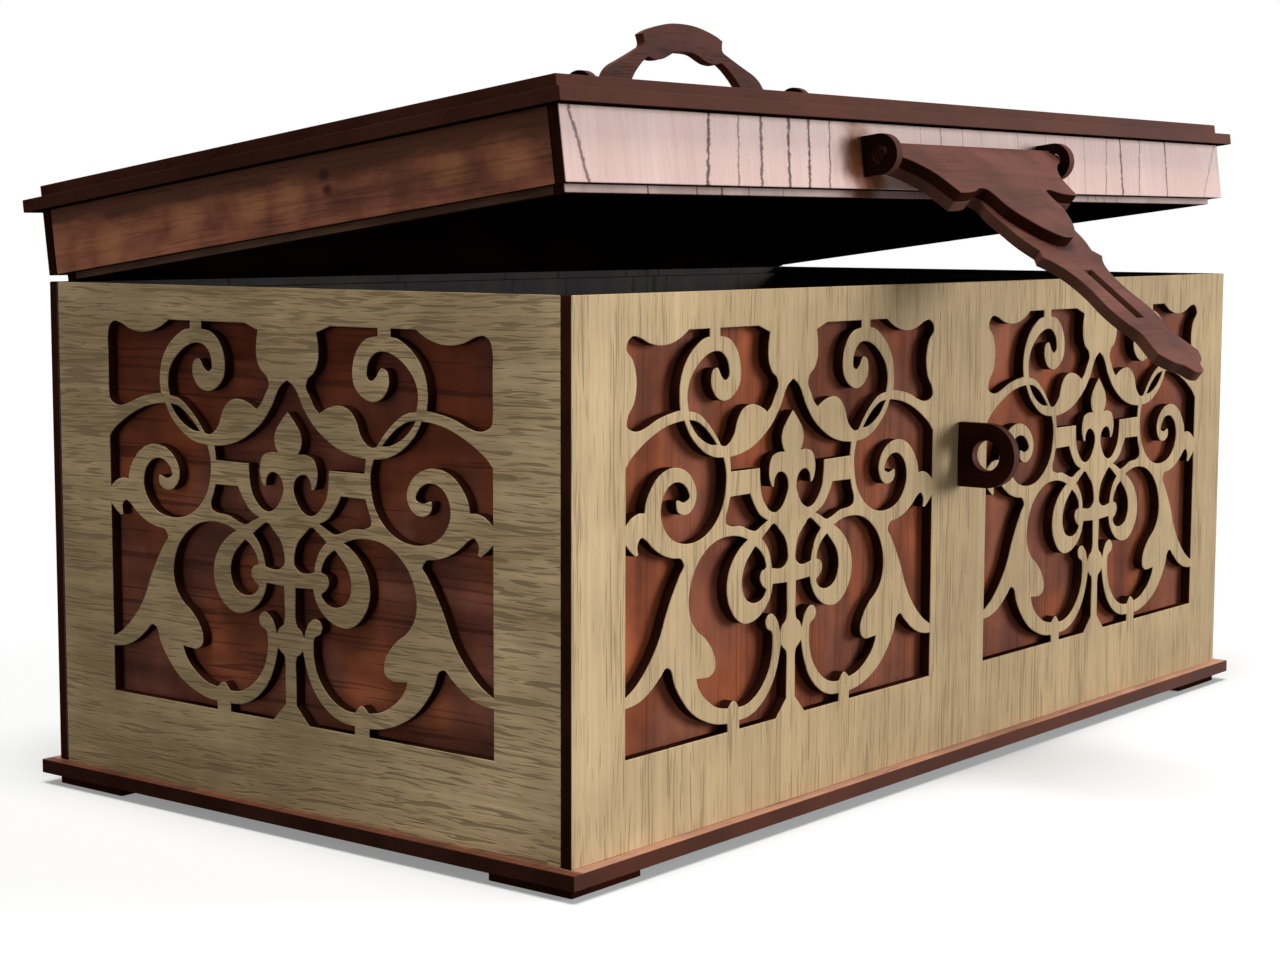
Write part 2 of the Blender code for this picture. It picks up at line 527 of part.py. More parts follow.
def build_hasp(hasp):
    """The winged cover on the axis of its pegs, and the long slotted arm glued behind it."""
    across = HASP_HALF_WIDTH / 100
    half_peg = PEG_SIDE / 2
    peg_tip = HASP_HALF_WIDTH + PEG_SIDE
    cover_top = [(0, HASP_TOP), (HASP_HALF_WIDTH, HASP_TOP), (HASP_HALF_WIDTH, half_peg),
                 (peg_tip, half_peg), (peg_tip, -half_peg), (HASP_HALF_WIDTH, -half_peg)]
    shoulder = [(100, 100 * HASP_SHOULDER / COVER_REACH, CORNER)]
    side = open_outline(shoulder + COVER_SHARES, across, -COVER_REACH / 100)
    cover = both_halves(np.vstack([cover_top, side]))
    add_cut_sheet("hasp_cover", [cover], (0, 0, 0), FACING_FRONT, hasp, DARK_WOOD)
    # The arm's top stays low enough to turn past the lid's front.
    arm_back = LAYER + SHEET / 2
    arm_top = math.sqrt((HASP_OUT - RUN_GAP) ** 2 - arm_back ** 2)
    shoulder = [(100, 100 * HASP_SHOULDER / ARM_REACH, CORNER)]
    side = open_outline(shoulder + ARM_SHARES, across, -ARM_REACH / 100)
    arm = both_halves(np.vstack([[(0, arm_top), (HASP_HALF_WIDTH, arm_top)], side]))
    slot_half_width = SHEET / 2 + SLOT_SIDE_GAP
    slot_half_length = STAPLE_RADIUS + SLOT_END_GAP
    slot = rectangle((-slot_half_width, -SLOT_CENTRE - slot_half_length),
                     (slot_half_width, -SLOT_CENTRE + slot_half_length))
    add_cut_sheet("hasp_arm", [arm, slot], (0, LAYER, 0), FACING_FRONT, hasp, DARK_WOOD)


def cheek_outline(side):
    """A plate on the arch's foot with a round inner end and a square peg at the outer end."""
    bend = np.linspace(math.pi / 2, 3 * math.pi / 2, ROUND_STEPS // 2)
    bend_x = HANDLE_HALF_SPAN - CHEEK_LENGTH + CHEEK_HALF_HEIGHT
    inner_end = np.stack([bend_x + CHEEK_HALF_HEIGHT * np.cos(bend),
                          CHEEK_HALF_HEIGHT * np.sin(bend)], axis=1)
    half_peg = PEG_SIDE / 2
    peg_tip = HANDLE_HALF_SPAN + PEG_SIDE
    outer_end = [(HANDLE_HALF_SPAN, -CHEEK_HALF_HEIGHT), (HANDLE_HALF_SPAN, -half_peg),
                 (peg_tip, -half_peg), (peg_tip, half_peg), (HANDLE_HALF_SPAN, half_peg),
                 (HANDLE_HALF_SPAN, CHEEK_HALF_HEIGHT)]
    outline = np.vstack([inner_end, outer_end])
    return outline if side > 0 else mirrored(outline)


def build_handle(handle):
    """The arch behind the axis of its pegs, and a cheek with a peg on each of its feet."""
    arch = open_outline(ARCH_SHARES, ARCH_HALF_SPAN / 100, HANDLE_RISE / 100)
    arch = both_halves(arch) - (0, HANDLE_AXIS_UP)
    add_cut_sheet("handle_arch", [arch], (0, LAYER, 0), FACING_FRONT, handle, DARK_WOOD)
    for side_name, side in (("left", -1), ("right", 1)):
        add_cut_sheet(f"handle_cheek_{side_name}", [cheek_outline(side)], (0, 0, 0), FACING_FRONT,
                      handle, DARK_WOOD)


def front_reach():
    """How far forward the tip of the hasp's arm reaches at rest."""
    hasp_y, hasp_z = -HASP_OUT - HINGE_Y, HASP_Z - HINGE_Z
    tip = swing((LAYER - SHEET / 2, -ARM_REACH), HASP_REST_ANGLE)
    return HINGE_Y + swing((hasp_y + tip[0], hasp_z + tip[1]), LID_REST_ANGLE)[0]


def back_reach():
    """How far back the lid's hinge leaves reach at rest."""
    return HINGE_Y + max(swing(point, LID_REST_ANGLE)[0] for point in lid_leaf_outline())


for old in list(bpy.data.objects):
    bpy.data.objects.remove(old, do_unlink=True)
parts = bpy.data.collections.new("keepsake_box")
bpy.context.scene.collection.children.link(parts)

box_frame = add_empty("box_frame", None, (0, -(front_reach() + back_reach()) / 2, 0), 0)
lid_axis = add_empty("lid_axis", box_frame, (0, HINGE_Y, HINGE_Z), LID_REST_ANGLE)
hasp_axis = add_empty("hasp_axis", lid_axis, (0, -HASP_OUT - HINGE_Y, HASP_Z - HINGE_Z),
                      HASP_REST_ANGLE)
handle_axis = add_empty("handle_axis", lid_axis, (0, HANDLE_FROM_FRONT - HINGE_Y, HANDLE_Z - HINGE_Z),
                        0)
build_base(box_frame)
build_walls(box_frame)
build_liners(box_frame)
build_staple(box_frame)
build_hinges(box_frame, lid_axis)
build_lid(lid_axis)
build_brackets(lid_axis)
build_hasp(hasp_axis)
build_handle(handle_axis)
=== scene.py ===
"""The looks of the wooden keepsake box: every piece again with fine outlines and softened edges,
oak, cherry, dark stain and crackled paint, on a white studio floor.

Metres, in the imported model's frame: +X along the front to the right, +Y to the back, +Z up.
"""

import json
import math

import bpy
import numpy as np
from mathutils import Euler, Matrix, Vector
from mathutils.geometry import convex_hull_2d, tessellate_polygon


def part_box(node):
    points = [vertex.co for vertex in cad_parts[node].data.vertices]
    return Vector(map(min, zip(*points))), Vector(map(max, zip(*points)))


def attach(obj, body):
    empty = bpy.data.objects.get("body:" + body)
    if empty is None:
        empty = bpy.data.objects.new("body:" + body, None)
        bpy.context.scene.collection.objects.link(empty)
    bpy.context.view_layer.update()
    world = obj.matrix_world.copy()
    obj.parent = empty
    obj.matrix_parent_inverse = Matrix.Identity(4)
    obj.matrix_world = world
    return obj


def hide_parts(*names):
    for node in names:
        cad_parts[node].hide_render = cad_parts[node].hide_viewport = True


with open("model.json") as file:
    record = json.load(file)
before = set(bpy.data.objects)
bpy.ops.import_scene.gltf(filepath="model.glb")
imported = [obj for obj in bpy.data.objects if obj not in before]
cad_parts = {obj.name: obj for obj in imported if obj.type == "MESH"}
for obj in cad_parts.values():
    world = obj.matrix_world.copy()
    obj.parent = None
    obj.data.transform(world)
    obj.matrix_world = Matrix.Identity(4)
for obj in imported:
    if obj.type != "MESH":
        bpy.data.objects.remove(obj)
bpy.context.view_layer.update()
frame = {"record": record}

# The sheet that every piece is cut from
SHEET = 0.003
GLUE_GAP = 0.0003
RUN_GAP = 0.0003
LAYER = SHEET + GLUE_GAP
SOFT_EDGE = 0.00014
CORNER_ROUND = 0.0003

# The box
BOX_WIDTH = 0.332
BOX_DEPTH = 0.179
WALL_HEIGHT = 0.128
PLATE_OVERHANG = 0.0035
FOOT_SIDE = 0.025
LINER_DROP = 0.0023
WINDOW_SILL = 0.0216
WINDOW_HEAD = 0.0088
LONG_WALL_STILE = 0.0191
LONG_WALL_MIDDLE = 0.0288
SHORT_WALL_STILE = 0.01985

# The lid
LID_HEIGHT = 0.017
LIP_HANG = 0.00175
BACK_LIP_HANG = 0.0021
LID_OPEN_ANGLE = math.radians(105)

# The hinges
HINGE_INSET = 0.060
HINGE_OUT = 0.0095
HINGE_EYE_RADIUS = 0.0052
HINGE_PIN_RADIUS = 0.002
HINGE_PIN_PROUD = 0.001
HINGE_LEAF_NEAR = 0.001
HINGE_LEAF_FAR = 0.014
HEEL_DROP = 0.004
HEEL_FLAT = 0.003

# The hasp and the staple
HASP_OUT = 0.0054
HASP_UP = 0.0082
HASP_HALF_WIDTH = 0.0439
HASP_TOP = 0.0032
HASP_SHOULDER = 0.002
COVER_REACH = 0.036
ARM_REACH = 0.087
HASP_REST_ANGLE = math.radians(44.6)
PEG_SIDE = 0.003
PEG_HOLE_RADIUS = 0.0023
HASP_BRACKET_RADIUS = 0.0052
SLOT_CENTRE = 0.0553
SLOT_END_GAP = 0.001
SLOT_SIDE_GAP = 0.0007
STAPLE_RADIUS = 0.0088
STAPLE_HOLE_RADIUS = 0.0042

# The handle
HANDLE_AXIS_UP = 0.0151
HANDLE_RISE = 0.0375
HANDLE_HALF_SPAN = 0.0501
HANDLE_FOOT_INSET = 0.0016
HANDLE_BRACKET_RADIUS = 0.0057
CHEEK_LENGTH = 0.019
CHEEK_HALF_HEIGHT = 0.0042

# How finely outlines are faceted
SMOOTH_STEPS = 14
FACET = 0.00002
ROUND_STEPS = 64
CORNER_POINTS = 4
QUARTER_TURN = math.pi / 2
ROUND_ANGLES = np.arange(ROUND_STEPS) * 2 * math.pi / ROUND_STEPS

# What follows from the sizes above
WALL_BOTTOM = 2 * LAYER
RIM = WALL_BOTTOM + WALL_HEIGHT
LID_BOTTOM = RIM + RUN_GAP
LID_PANEL_TOP = LID_BOTTOM + LID_HEIGHT
INNER_WIDTH = BOX_WIDTH - 2 * LAYER
SHORT_WALL_LENGTH = BOX_DEPTH - 2 * LAYER
SHORT_LINER_LENGTH = SHORT_WALL_LENGTH - 2 * LAYER
WINDOW_HEIGHT = WALL_HEIGHT - WINDOW_SILL - WINDOW_HEAD
LONG_WINDOW_WIDTH = (BOX_WIDTH - 2 * LONG_WALL_STILE - LONG_WALL_MIDDLE) / 2
SHORT_WINDOW_WIDTH = SHORT_WALL_LENGTH - 2 * SHORT_WALL_STILE
HINGE_Y = BOX_DEPTH + HINGE_OUT
HINGE_Z = (RIM + LID_BOTTOM) / 2
HASP_Z = LID_BOTTOM + HASP_UP
STAPLE_Z = HASP_Z - SLOT_CENTRE
ARCH_HALF_SPAN = HANDLE_HALF_SPAN - HANDLE_FOOT_INSET

# Half of one scroll window, as the holes cut out of the wall. Each point is (across, up): across
# counts from the middle line, where 68 is the window's edge, and up is hundredths of its height.
# CORNER marks a sharp turn, and the outline runs smoothly through the other points.
CORNER = True
WINDOW_EDGE_SHARE = 68
UPPER_CURL_SHARES = [
    (15.2, 100, CORNER), (31.3, 100, CORNER), (31.3, 98, CORNER), (27, 97), (24, 94), (22.7, 90),
    (23.2, 86), (25.5, 83.5), (29.5, 82.2), (33, 83.5), (34.9, 86.5), (34, 90), (32.5, 90.4),
    (30.4, 88), (29, 87.2), (27.7, 88), (27.6, 90), (28.6, 92.4), (31, 94.2), (34, 94.4), (38, 93),
    (41, 90.8), (43.5, 87.7), (44.4, 84.5), (43.8, 80.5, CORNER), (40, 79.7), (36.5, 77.5),
    (33.5, 74.8), (30.5, 71.3, CORNER), (28.5, 71.2), (27, 72), (25.2, 74), (24, 77), (22, 79.5),
    (19.5, 80.6), (16.5, 80.6), (14, 79.9), (11.2, 78.5, CORNER), (9.8, 79.6), (8.2, 82), (6.6, 85),
    (7.3, 86.8), (9.4, 88.4), (10.8, 91), (11, 95), (10.4, 98.3, CORNER)]
UPPER_CORNER_SHARES = [
    (35.6, 98, CORNER), (35.6, 100, CORNER), (43.8, 100, CORNER), (47, 98.2), (50.5, 97),
    (55, 96.6), (59.5, 97.4), (63, 98.8), (65.5, 99.1), (67.2, 98)]
LONG_WALL_EDGE_SHARES = [(67.8, 96.5), (65.3, 93.5), (64, 89), (65, 83.5), (67.3, 80.3)]
SHORT_WALL_EDGE_SHARES = [(68, 95.5), (68, 91), (68, 85), (68, 80.5)]
BELOW_CORNER_SHARES = [
    (67.6, 78.5), (65.5, 77.2), (63, 77), (60.5, 77.6), (56, 79.3), (51, 80.4),
    (47.2, 80.9, CORNER), (47.6, 84.5), (46.8, 89), (44.5, 93), (41, 96), (37.5, 97.7)]
LENS_SHARES = [
    (32.4, 71.7, CORNER), (35, 74.3), (38, 76.6), (41, 78), (43.7, 78.4, CORNER), (42.3, 76.5),
    (40, 74.3), (37, 72.6), (34.5, 71.8)]
CROWN_SHARES = [
    (0, 86.2), (2, 85), (6, 79), (9, 75.5), (13, 72.5), (18, 70), (22, 68.9), (27, 68.3, CORNER),
    (26.5, 64.7, CORNER), (14.3, 64.6, CORNER), (14.1, 61), (13.5, 58), (11.5, 55), (9.5, 53.4),
    (7.2, 52.9), (5, 53.8), (2.7, 56.5), (1.8, 59), (2.5, 61.5), (4.5, 62.9), (6.3, 62.9),
    (7.6, 61.8), (8.2, 59.4, CORNER), (8.9, 59.5), (9.9, 61), (10.2, 64.5), (9, 67), (6.5, 67.9),
    (3.5, 67.9, CORNER), (4.5, 69.5), (4.9, 71.5), (4.3, 73.5), (2.5, 75.8), (0, 78.3, CORNER)]
UNDER_BAR_SHARES = [
    (18.4, 58.6, CORNER), (26.8, 58.5, CORNER), (27.5, 56.3), (28.6, 53.3), (28.3, 52), (27, 51.4),
    (22, 50.8), (18, 49.4), (16, 49), (13, 50.2), (10.6, 51.2, CORNER), (14, 52.8), (16.5, 55.5)]
SIDE_CURL_SHARES = [
    (29.7, 68.4, CORNER), (33, 68.7), (37, 70), (40.5, 72.2), (43.5, 75), (45.6, 78.4, CORNER),
    (49, 78.1), (54, 77), (59, 75), (63, 72.8), (66.5, 70.3), (68, 68.6, CORNER),
    (68, 55.2, CORNER), (65.5, 57), (63, 57.7), (60.8, 57.6, CORNER), (60.3, 60), (58.5, 63),
    (55.5, 65.8), (52, 67.2), (48, 67.3), (44, 65.8), (41.5, 63.3), (40.5, 60.3), (41.2, 58),
    (43.5, 56), (46, 55.8), (48.3, 57), (48.5, 59.4), (45.5, 58.8), (43.4, 59.8), (44.2, 61.8),
    (46.5, 63.5), (49.5, 63.8), (52.5, 62.3), (54.3, 59.5), (54.6, 56.5), (53, 52.8), (50, 50.2),
    (46, 48.9), (42, 48.7), (37.5, 49.7), (33, 52.5), (29.9, 56.5), (28.7, 60.5), (28.5, 64.5)]
BUD_SHARES = [
    (8, 50.1), (5.5, 48.3), (3, 45.8), (1.9, 43), (1.9, 40), (3, 39), (8.7, 38.9, CORNER),
    (9.2, 41), (10.5, 44), (13.2, 46.9, CORNER), (10.5, 48.8)]
TEARDROP_SHARES = [
    (16, 45.2, CORNER), (18, 43.5), (20.3, 41), (21.5, 38), (21.4, 35), (19.8, 32.3), (17, 31),
    (14.5, 31), (12.3, 32), (11.2, 33.6), (12.9, 34.9), (13.9, 36.7), (13.3, 38.4), (11.3, 39.3),
    (11.7, 41), (13.5, 43.5)]
BELLY_SHARES = [
    (2, 34.5, CORNER), (8.3, 34.8, CORNER), (9.2, 32), (11.2, 29.3), (14.2, 27.2), (17.5, 26.2),
    (20.5, 26.2), (23.5, 27.5), (26, 30), (27.6, 33), (28, 36), (27.3, 39.5), (25.5, 42.5),
    (22.5, 45.3), (19.2, 47.2, CORNER), (23, 48.4), (28, 48.8), (33, 48), (37, 46), (40.5, 42.8),
    (42.8, 38.5), (43.5, 34), (42.5, 30), (40.3, 27.2), (36.5, 24.5), (34, 21.8), (32.5, 18.5),
    (32.7, 16.5), (35, 15), (37.5, 15), (40.2, 15.2, CORNER), (39.8, 13.8), (38.2, 11.3), (35.5, 9),
    (32, 7), (27.3, 5.9, CORNER), (24.8, 7.5), (22.5, 5.5, CORNER), (19.5, 5.7), (15.5, 7.2),
    (12, 10), (9.5, 13.5), (8.4, 17), (8.2, 20), (8.6, 22.5), (10.9, 24), (11.3, 25.5), (10.3, 27),
    (8.8, 27.3), (7, 26.3), (4.9, 22, CORNER), (3.8, 23.8), (2.5, 24.7), (1.9, 26.5), (1.9, 30)]
STEM_SHARES = [
    (1.9, 15.5), (1.9, 12), (1.9, 4.6, CORNER), (6.5, 0, CORNER), (22.3, 0, CORNER),
    (22.4, 2.2, CORNER), (19, 2.4), (15, 3.6), (11, 6.2), (8, 9.5), (6, 13.5), (4.5, 18.8, CORNER),
    (3.3, 17.7), (2.3, 17)]
LOWER_CORNER_SHARES = [
    (27.3, 0, CORNER), (27.4, 2.1, CORNER), (32, 2.7), (37, 4.3), (42, 7), (46, 10.8), (49, 15),
    (51, 19.2), (52.1, 19.6), (54.5, 17.8), (58, 15.2), (62, 13.2), (65.5, 12.4),
    (68, 12.2, CORNER), (68, 0, CORNER)]
LEAF_SHARES = [
    (68, 14.8, CORNER), (64, 17), (60.5, 20), (57, 24), (54.5, 28), (52.5, 32.5), (50, 37),
    (47, 41.5), (45.5, 43.5), (46.5, 45.1), (50, 45.8), (54, 47), (58, 49.3), (60.5, 51.3),
    (62, 51.9), (63.4, 50.5), (63.2, 48, CORNER), (64.2, 47.7, CORNER), (66.3, 49.2),
    (68, 50.8, CORNER)]

# The hasp's outlines below its shoulder, one half each. Across is hundredths of HASP_HALF_WIDTH,
# and down is hundredths of COVER_REACH or of ARM_REACH, from the axis of the pegs.
COVER_SHARES = [
    (91, 10), (83.2, 16.7), (76.3, 26.4), (72.9, 38.9), (71.3, 48.3, CORNER), (61.5, 48),
    (51.3, 46.1), (42.1, 42.5), (36.4, 43.9), (34.2, 51.4), (33.5, 63.9), (27.3, 77.8),
    (15.9, 92.5), (5.7, 99.2), (0, 100)]
ARM_SHARES = [
    (91, 4.1), (83.2, 6.9), (76.3, 10.9), (72.9, 16.1), (71.3, 20, CORNER), (61.5, 19.9),
    (51.3, 19.1), (42.1, 17.6), (39.2, 19.5), (41, 24.7), (39.9, 31), (37.6, 37.9),
    (32.3, 43.1, CORNER), (37.6, 46, CORNER), (28.5, 50), (23.5, 55.2), (22.3, 60.9), (25.1, 70.1),
    (23.9, 75.9), (20, 81.6), (23.9, 87.4), (26.2, 90.8, CORNER), (18.2, 94.8), (10.3, 96.6),
    (5.7, 99.4), (0, 100, CORNER)]

# Half of the handle's arch: across is hundredths of ARCH_HALF_SPAN, and up of HANDLE_RISE.
ARCH_SHARES = [
    (0, 100), (12.4, 99.2), (24.7, 96.3), (35.1, 92.4), (40.2, 89.5, CORNER), (39.2, 85.5),
    (39, 82.1), (40.4, 79.7, CORNER), (49.5, 74.7), (61.9, 68.2), (71.1, 63.2), (75.7, 58.9),
    (79.4, 53), (85, 46.5), (93, 41), (100, 36, CORNER), (99, 30), (94, 27.4, CORNER),
    (70, 27.4, CORNER), (62.5, 36), (57.5, 46), (53, 55.3), (47.4, 62.4), (41.2, 68.4),
    (36.1, 71.6), (32, 70.3), (26.8, 70.3), (21.6, 71.3), (16.5, 73.7), (10.3, 76.8), (0, 77.9)]

# Colours, linear. A pair holds the colours of a finish's pale and deep parts.
OAK_FRONT = (0.72, 0.53, 0.3), (0.655, 0.472, 0.258)
OAK_SIDE = (0.72, 0.53, 0.3), (0.59, 0.42, 0.222)
OAK_PORE = (0.2, 0.14, 0.072)
CHERRY_FRONT = (0.42, 0.136, 0.066), (0.17, 0.05, 0.027)
CHERRY_SIDE = (0.4, 0.146, 0.088), (0.14, 0.045, 0.028)
CHERRY_LINE = (0.05, 0.015, 0.01)
CHERRY_WARM = (1.12, 0.92, 0.7)
CHERRY_COOL = (0.86, 0.86, 0.92)
STAIN = (0.15, 0.053, 0.037), (0.095, 0.031, 0.02)
STAIN_LINE = (0.028, 0.01, 0.007)
HANDLE_STAIN = (0.098, 0.027, 0.016), (0.06, 0.017, 0.01)
# Painted shade: the stain darkened for the base's underside, the feet and the hinges, and near
# black for the hasp's brackets and the staple
PAINTED_SHADE_STAIN = (0.058, 0.019, 0.012), (0.034, 0.011, 0.007)
BRACKET_PAINTED_SHADE = (0.022, 0.007, 0.004), (0.012, 0.004, 0.003)
STAPLE_PAINTED_SHADE = (0.038, 0.01, 0.006), (0.02, 0.006, 0.003)
LIP_STAIN = (0.17, 0.095, 0.058), (0.1, 0.052, 0.03)
# Painted shade: near-black stain for the lid's inside
INSIDE_PAINTED_SHADE = (0.01, 0.005, 0.004), (0.005, 0.003, 0.002)
SIDE_STAIN = (0.54, 0.205, 0.1), (0.26, 0.09, 0.056)
# Painted shade for the upper part of the lid's sides, under the top plates' overhang
SIDE_TOP_SHADE = (0.12, 0.044, 0.024)
SIDE_WARM = (0.62, 0.27, 0.12)
TOP_EDGE = (0.112, 0.033, 0.019), (0.068, 0.024, 0.015)
# Painted shade: darker edges for the plates' ends at the box's sides
SIDE_EDGE_SHADE = (0.068, 0.024, 0.015), (0.038, 0.013, 0.008)
BASE_EDGE_SHADE = (0.046, 0.017, 0.012), (0.026, 0.009, 0.006)
HASP_EDGE = (0.118, 0.051, 0.034), (0.08, 0.032, 0.02)
BURNT_EDGE = (0.044, 0.012, 0.007), (0.018, 0.006, 0.003)
LEDGE = (0.19, 0.07, 0.038), (0.12, 0.042, 0.022)
# Painted shade on the base plate inside the box
INSIDE_FLOOR_SHADE = (0.09, 0.06, 0.055)
PAINT = (0.85, 0.64, 0.59), (0.78, 0.565, 0.515)
# Painted shade: the paint darkened on the lid's lips, which sit back under the panels
LIP_PAINT_SHADED = (0.64, 0.48, 0.44), (0.43, 0.32, 0.285)
PAINT_LOW = (1.0, 0.95, 0.94)
PAINT_CRACK = (0.08, 0.024, 0.018)
BRUSHED = (0.95, 0.94, 0.94)
# The brown tint of the painted shadows beside and under the hasp's left bracket
BRACKET_SHADOW_TINT = (0.36, 0.17, 0.07)
# Painted shade: the paint and its cracks darkened on the inner faces of the walls and liners
INSIDE_PAINT_SHADED = (0.072, 0.056, 0.054), (0.036, 0.027, 0.027)
INSIDE_CRACK_SHADED = (0.006, 0.004, 0.004)
DOWEL = (0.42, 0.28, 0.16), (0.28, 0.17, 0.09)
FLOOR_SEEN = (0.98, 0.98, 0.98)
FLOOR_BOUNCE = (0.25, 0.25, 0.25)
FLOOR_GLOW = 0.24

# Cracks in the painted boards: (place along X at the board's foot, lean, half width, strength)
LID_FRONT_CRACKS = [
    (-0.1581, -0.27, 0.0006, 0.8), (-0.1143, 0.165, 0.0007, 0.95), (-0.102, 0.14, 0.0004, 0.65),
    (-0.0925, 0.12, 0.0006, 0.9), (-0.0807, 0.12, 0.0006, 0.95), (-0.072, 0.12, 0.0006, 0.95),
    (-0.0631, 0.15, 0.0004, 0.8), (-0.018, 0.03, 0.0003, 0.35), (-0.0075, 0.03, 0.0004, 0.6),
    (0.004, 0.02, 0.0003, 0.4), (0.014, 0.02, 0.0003, 0.3), (0.0345, 0.02, 0.0003, 0.35),
    (0.05, 0.05, 0.0003, 0.3), (0.062, 0.05, 0.0003, 0.3), (0.0725, 0.1, 0.0003, 0.35),
    (0.0854, 0.2, 0.0004, 0.65), (0.0965, 0.06, 0.0006, 0.95), (0.1072, 0.2, 0.0004, 0.65),
    (0.1265, 0.08, 0.0005, 0.9), (0.1525, 0.66, 0.0004, 0.55)]
LIP_CRACKS = [
    (-0.133, 0, 0.0004, 0.9), (-0.1145, 0, 0.0004, 0.9), (-0.1045, 0, 0.0005, 0.95),
    (-0.0935, 0, 0.0003, 0.8), (-0.079, 0, 0.0002, 0.6), (0.08, 0, 0.0004, 0.8),
    (0.085, 0, 0.0003, 0.8), (0.0905, 0, 0.0003, 0.7), (0.0985, 0, 0.0003, 0.7),
    (0.12, 0, 0.0002, 0.5)]
INSIDE_CRACKS = [
    (-0.102, -0.03, 0.0006, 0.9), (-0.043, 0.04, 0.0005, 0.8), (0.009, 0.02, 0.0005, 0.8),
    (0.0383, 0.0, 0.0008, 1.0), (0.0727, 0.01, 0.0008, 1.0), (0.0815, 0.0, 0.0004, 0.8),
    (0.0854, 0.0, 0.0015, 1.0), (0.0922, 0.0, 0.0007, 1.0), (0.131, 0.03, 0.0006, 0.8)]
CRACK_WOBBLE = 0.0017

# Painted shadows beside and under the hasp's left bracket, from the hinge's axis: (place, radius)
BRACKET_SHADOWS = [((-0.049, -HINGE_Y, 0.0085), 0.0068), ((-0.043, -HINGE_Y, 0.002), 0.0062)]
BRACKET_SHADOW_STRETCH = (1, 0.1, 0.7)

# The lid's sides, from the hinge's axis: their dark upper part, which is painted shade under the
# top plates, and their knots and patches (Y, Z)
SIDE_DARK_FROM, SIDE_DARK_FULL, SIDE_DARK_DRIFT = 0.0104, 0.0139, 0.01
SIDE_KNOTS = [(-0.115, 0.012), (-0.1155, 0.0083)]
SIDE_KNOT_RADIUS = 0.0014
SIDE_PATCHES = [(-0.1737, 0.007), (-0.1552, 0.008), (-0.1027, 0.0076), (-0.0887, 0.0078),
                (-0.065, 0.008), (-0.035, 0.0055)]
SIDE_PATCH_RADIUS = 0.0044
SIDE_SPOT_STRETCH = (0, 0.75, 1)

# Streaky dark columns on the front wall: (middle, reach) along X. They show at the top, and again
# from the foot up.
STREAKY_COLUMNS = [(-0.001, 0.015), (0.123, 0.022)]
STREAKS_TOP = (0.085, 0.12)
STREAKS_FOOT = (0.018, 0.034)

# Tones that deepen: (from, to, deepest) along an axis of the box's frame, from its middle, its
# front and the ground
OAK_LEFT_END = (-0.15, -0.085, (0.86, 0.85, 0.83))
OAK_BACK_END = (0.0, 0.11, (0.76, 0.76, 0.73))
OAK_BACK_FOOT = (0.78, 0.78, 0.76)
BACK_FOOT_ALONG, BACK_FOOT_UP = (0.02, 0.09), (0.04, 0.11)
# Painted shade on the side liners towards the rim
CHERRY_RIM_SHADE = (0.06, 0.105, (0.62, 0.52, 0.5))
# Painted light on the ledge: several times brighter but for its left strip, left dark as painted
# shade
LEDGE_PAINTED_LIGHT = (-0.167, -0.165, (3.4, 4.9, 6.0))

# The clouds that wood and paint are made of: scales, patch sizes, and the spans that count
SWAY_SCALES = (22.0, 130.0)
QUICK_SWAY_SHARE = 0.15
PORE_SETS = ((1.0, 1.0), (1.9, 0.7))
BURN_LINES = 1500.0
BRUSH_MARKS = 900.0
RAGGED = 260.0
CHERRY_CLOUD = 38.0
LID_SIDE_CLOUD = 120.0
CRACK_CLOUD = 300.0
EDGE_PATCH = 0.025
PAINT_PATCH = 0.02
UNSCUFFED_PATCH = 0.014
BAND_HALF_SPAN = 0.22
SPOT_SPAN = (0.7, 1.9)
FIBRE_SPAN = (0.3, 0.7)
PATCH_SPAN = (0.34, 0.68)
PORE_SPAN = (0.97, 1.07)
CHERRY_SPAN = (0.4, 0.62)
STREAK_SPAN = (0.5, 0.62)
SCUFF_SPAN = (0.62, 0.74)

WOOD_ROUGHNESS = 0.6
PAINT_ROUGHNESS, PAINT_SHEEN = 0.55, 0.15
SCUFF_STRENGTH = 0.35
STREAK_STRENGTH = 0.45
CRACK_HARDNESS = 1.6
WOOD_RELIEF = 0.00012
EDGE_RELIEF = 0.00008
PAINT_RELIEF = 0.00002

# Where the camera stood, and how it looked
CAMERA_PLACE = (-0.56484, -0.39588, 0.15)
CAMERA_YAW = math.radians(38.176)
CAMERA_DIP = math.radians(6.124)
CAMERA_ROLL = 0.0028258
CAMERA_LENS = 67.03
CAMERA_SENSOR = 36


# Outlines

def swing(point, angle):
    """Where a (Y, Z) point about an axis goes when its body opens by an angle."""
    y, z = point
    return (y * math.cos(angle) + z * math.sin(angle), z * math.cos(angle) - y * math.sin(angle))


def smooth_run(points):
    """A cubic through each pair of points. The slope at a point is the mean of its two chords'
    slopes, each weighted by the other chord's length, so a near neighbour counts for more."""
    if len(points) < 3:
        return points
    steps = np.diff(points, axis=0)
    lengths = np.hypot(steps[:, 0], steps[:, 1])[:, None]
    slopes = steps / lengths
    inner = (slopes[:-1] * lengths[1:] + slopes[1:] * lengths[:-1]) / (lengths[1:] + lengths[:-1])
    first = (3 * slopes[0] - inner[0]) / 2
    last = (3 * slopes[-1] - inner[-1]) / 2
    tangents = np.vstack([first, inner, last])
    t = np.linspace(0, 1, SMOOTH_STEPS, endpoint=False)[None, :, None]
    start, end = points[:-1, None], points[1:, None]
    start_slope, end_slope = (tangents[:-1] * lengths)[:, None], (tangents[1:] * lengths)[:, None]
    curve = (start * (2 * t**3 - 3 * t**2 + 1) + end * (3 * t**2 - 2 * t**3)
             + start_slope * (t**3 - 2 * t**2 + t) + end_slope * (t**3 - t**2))
    return np.vstack([curve.reshape(-1, 2), points[-1:]])


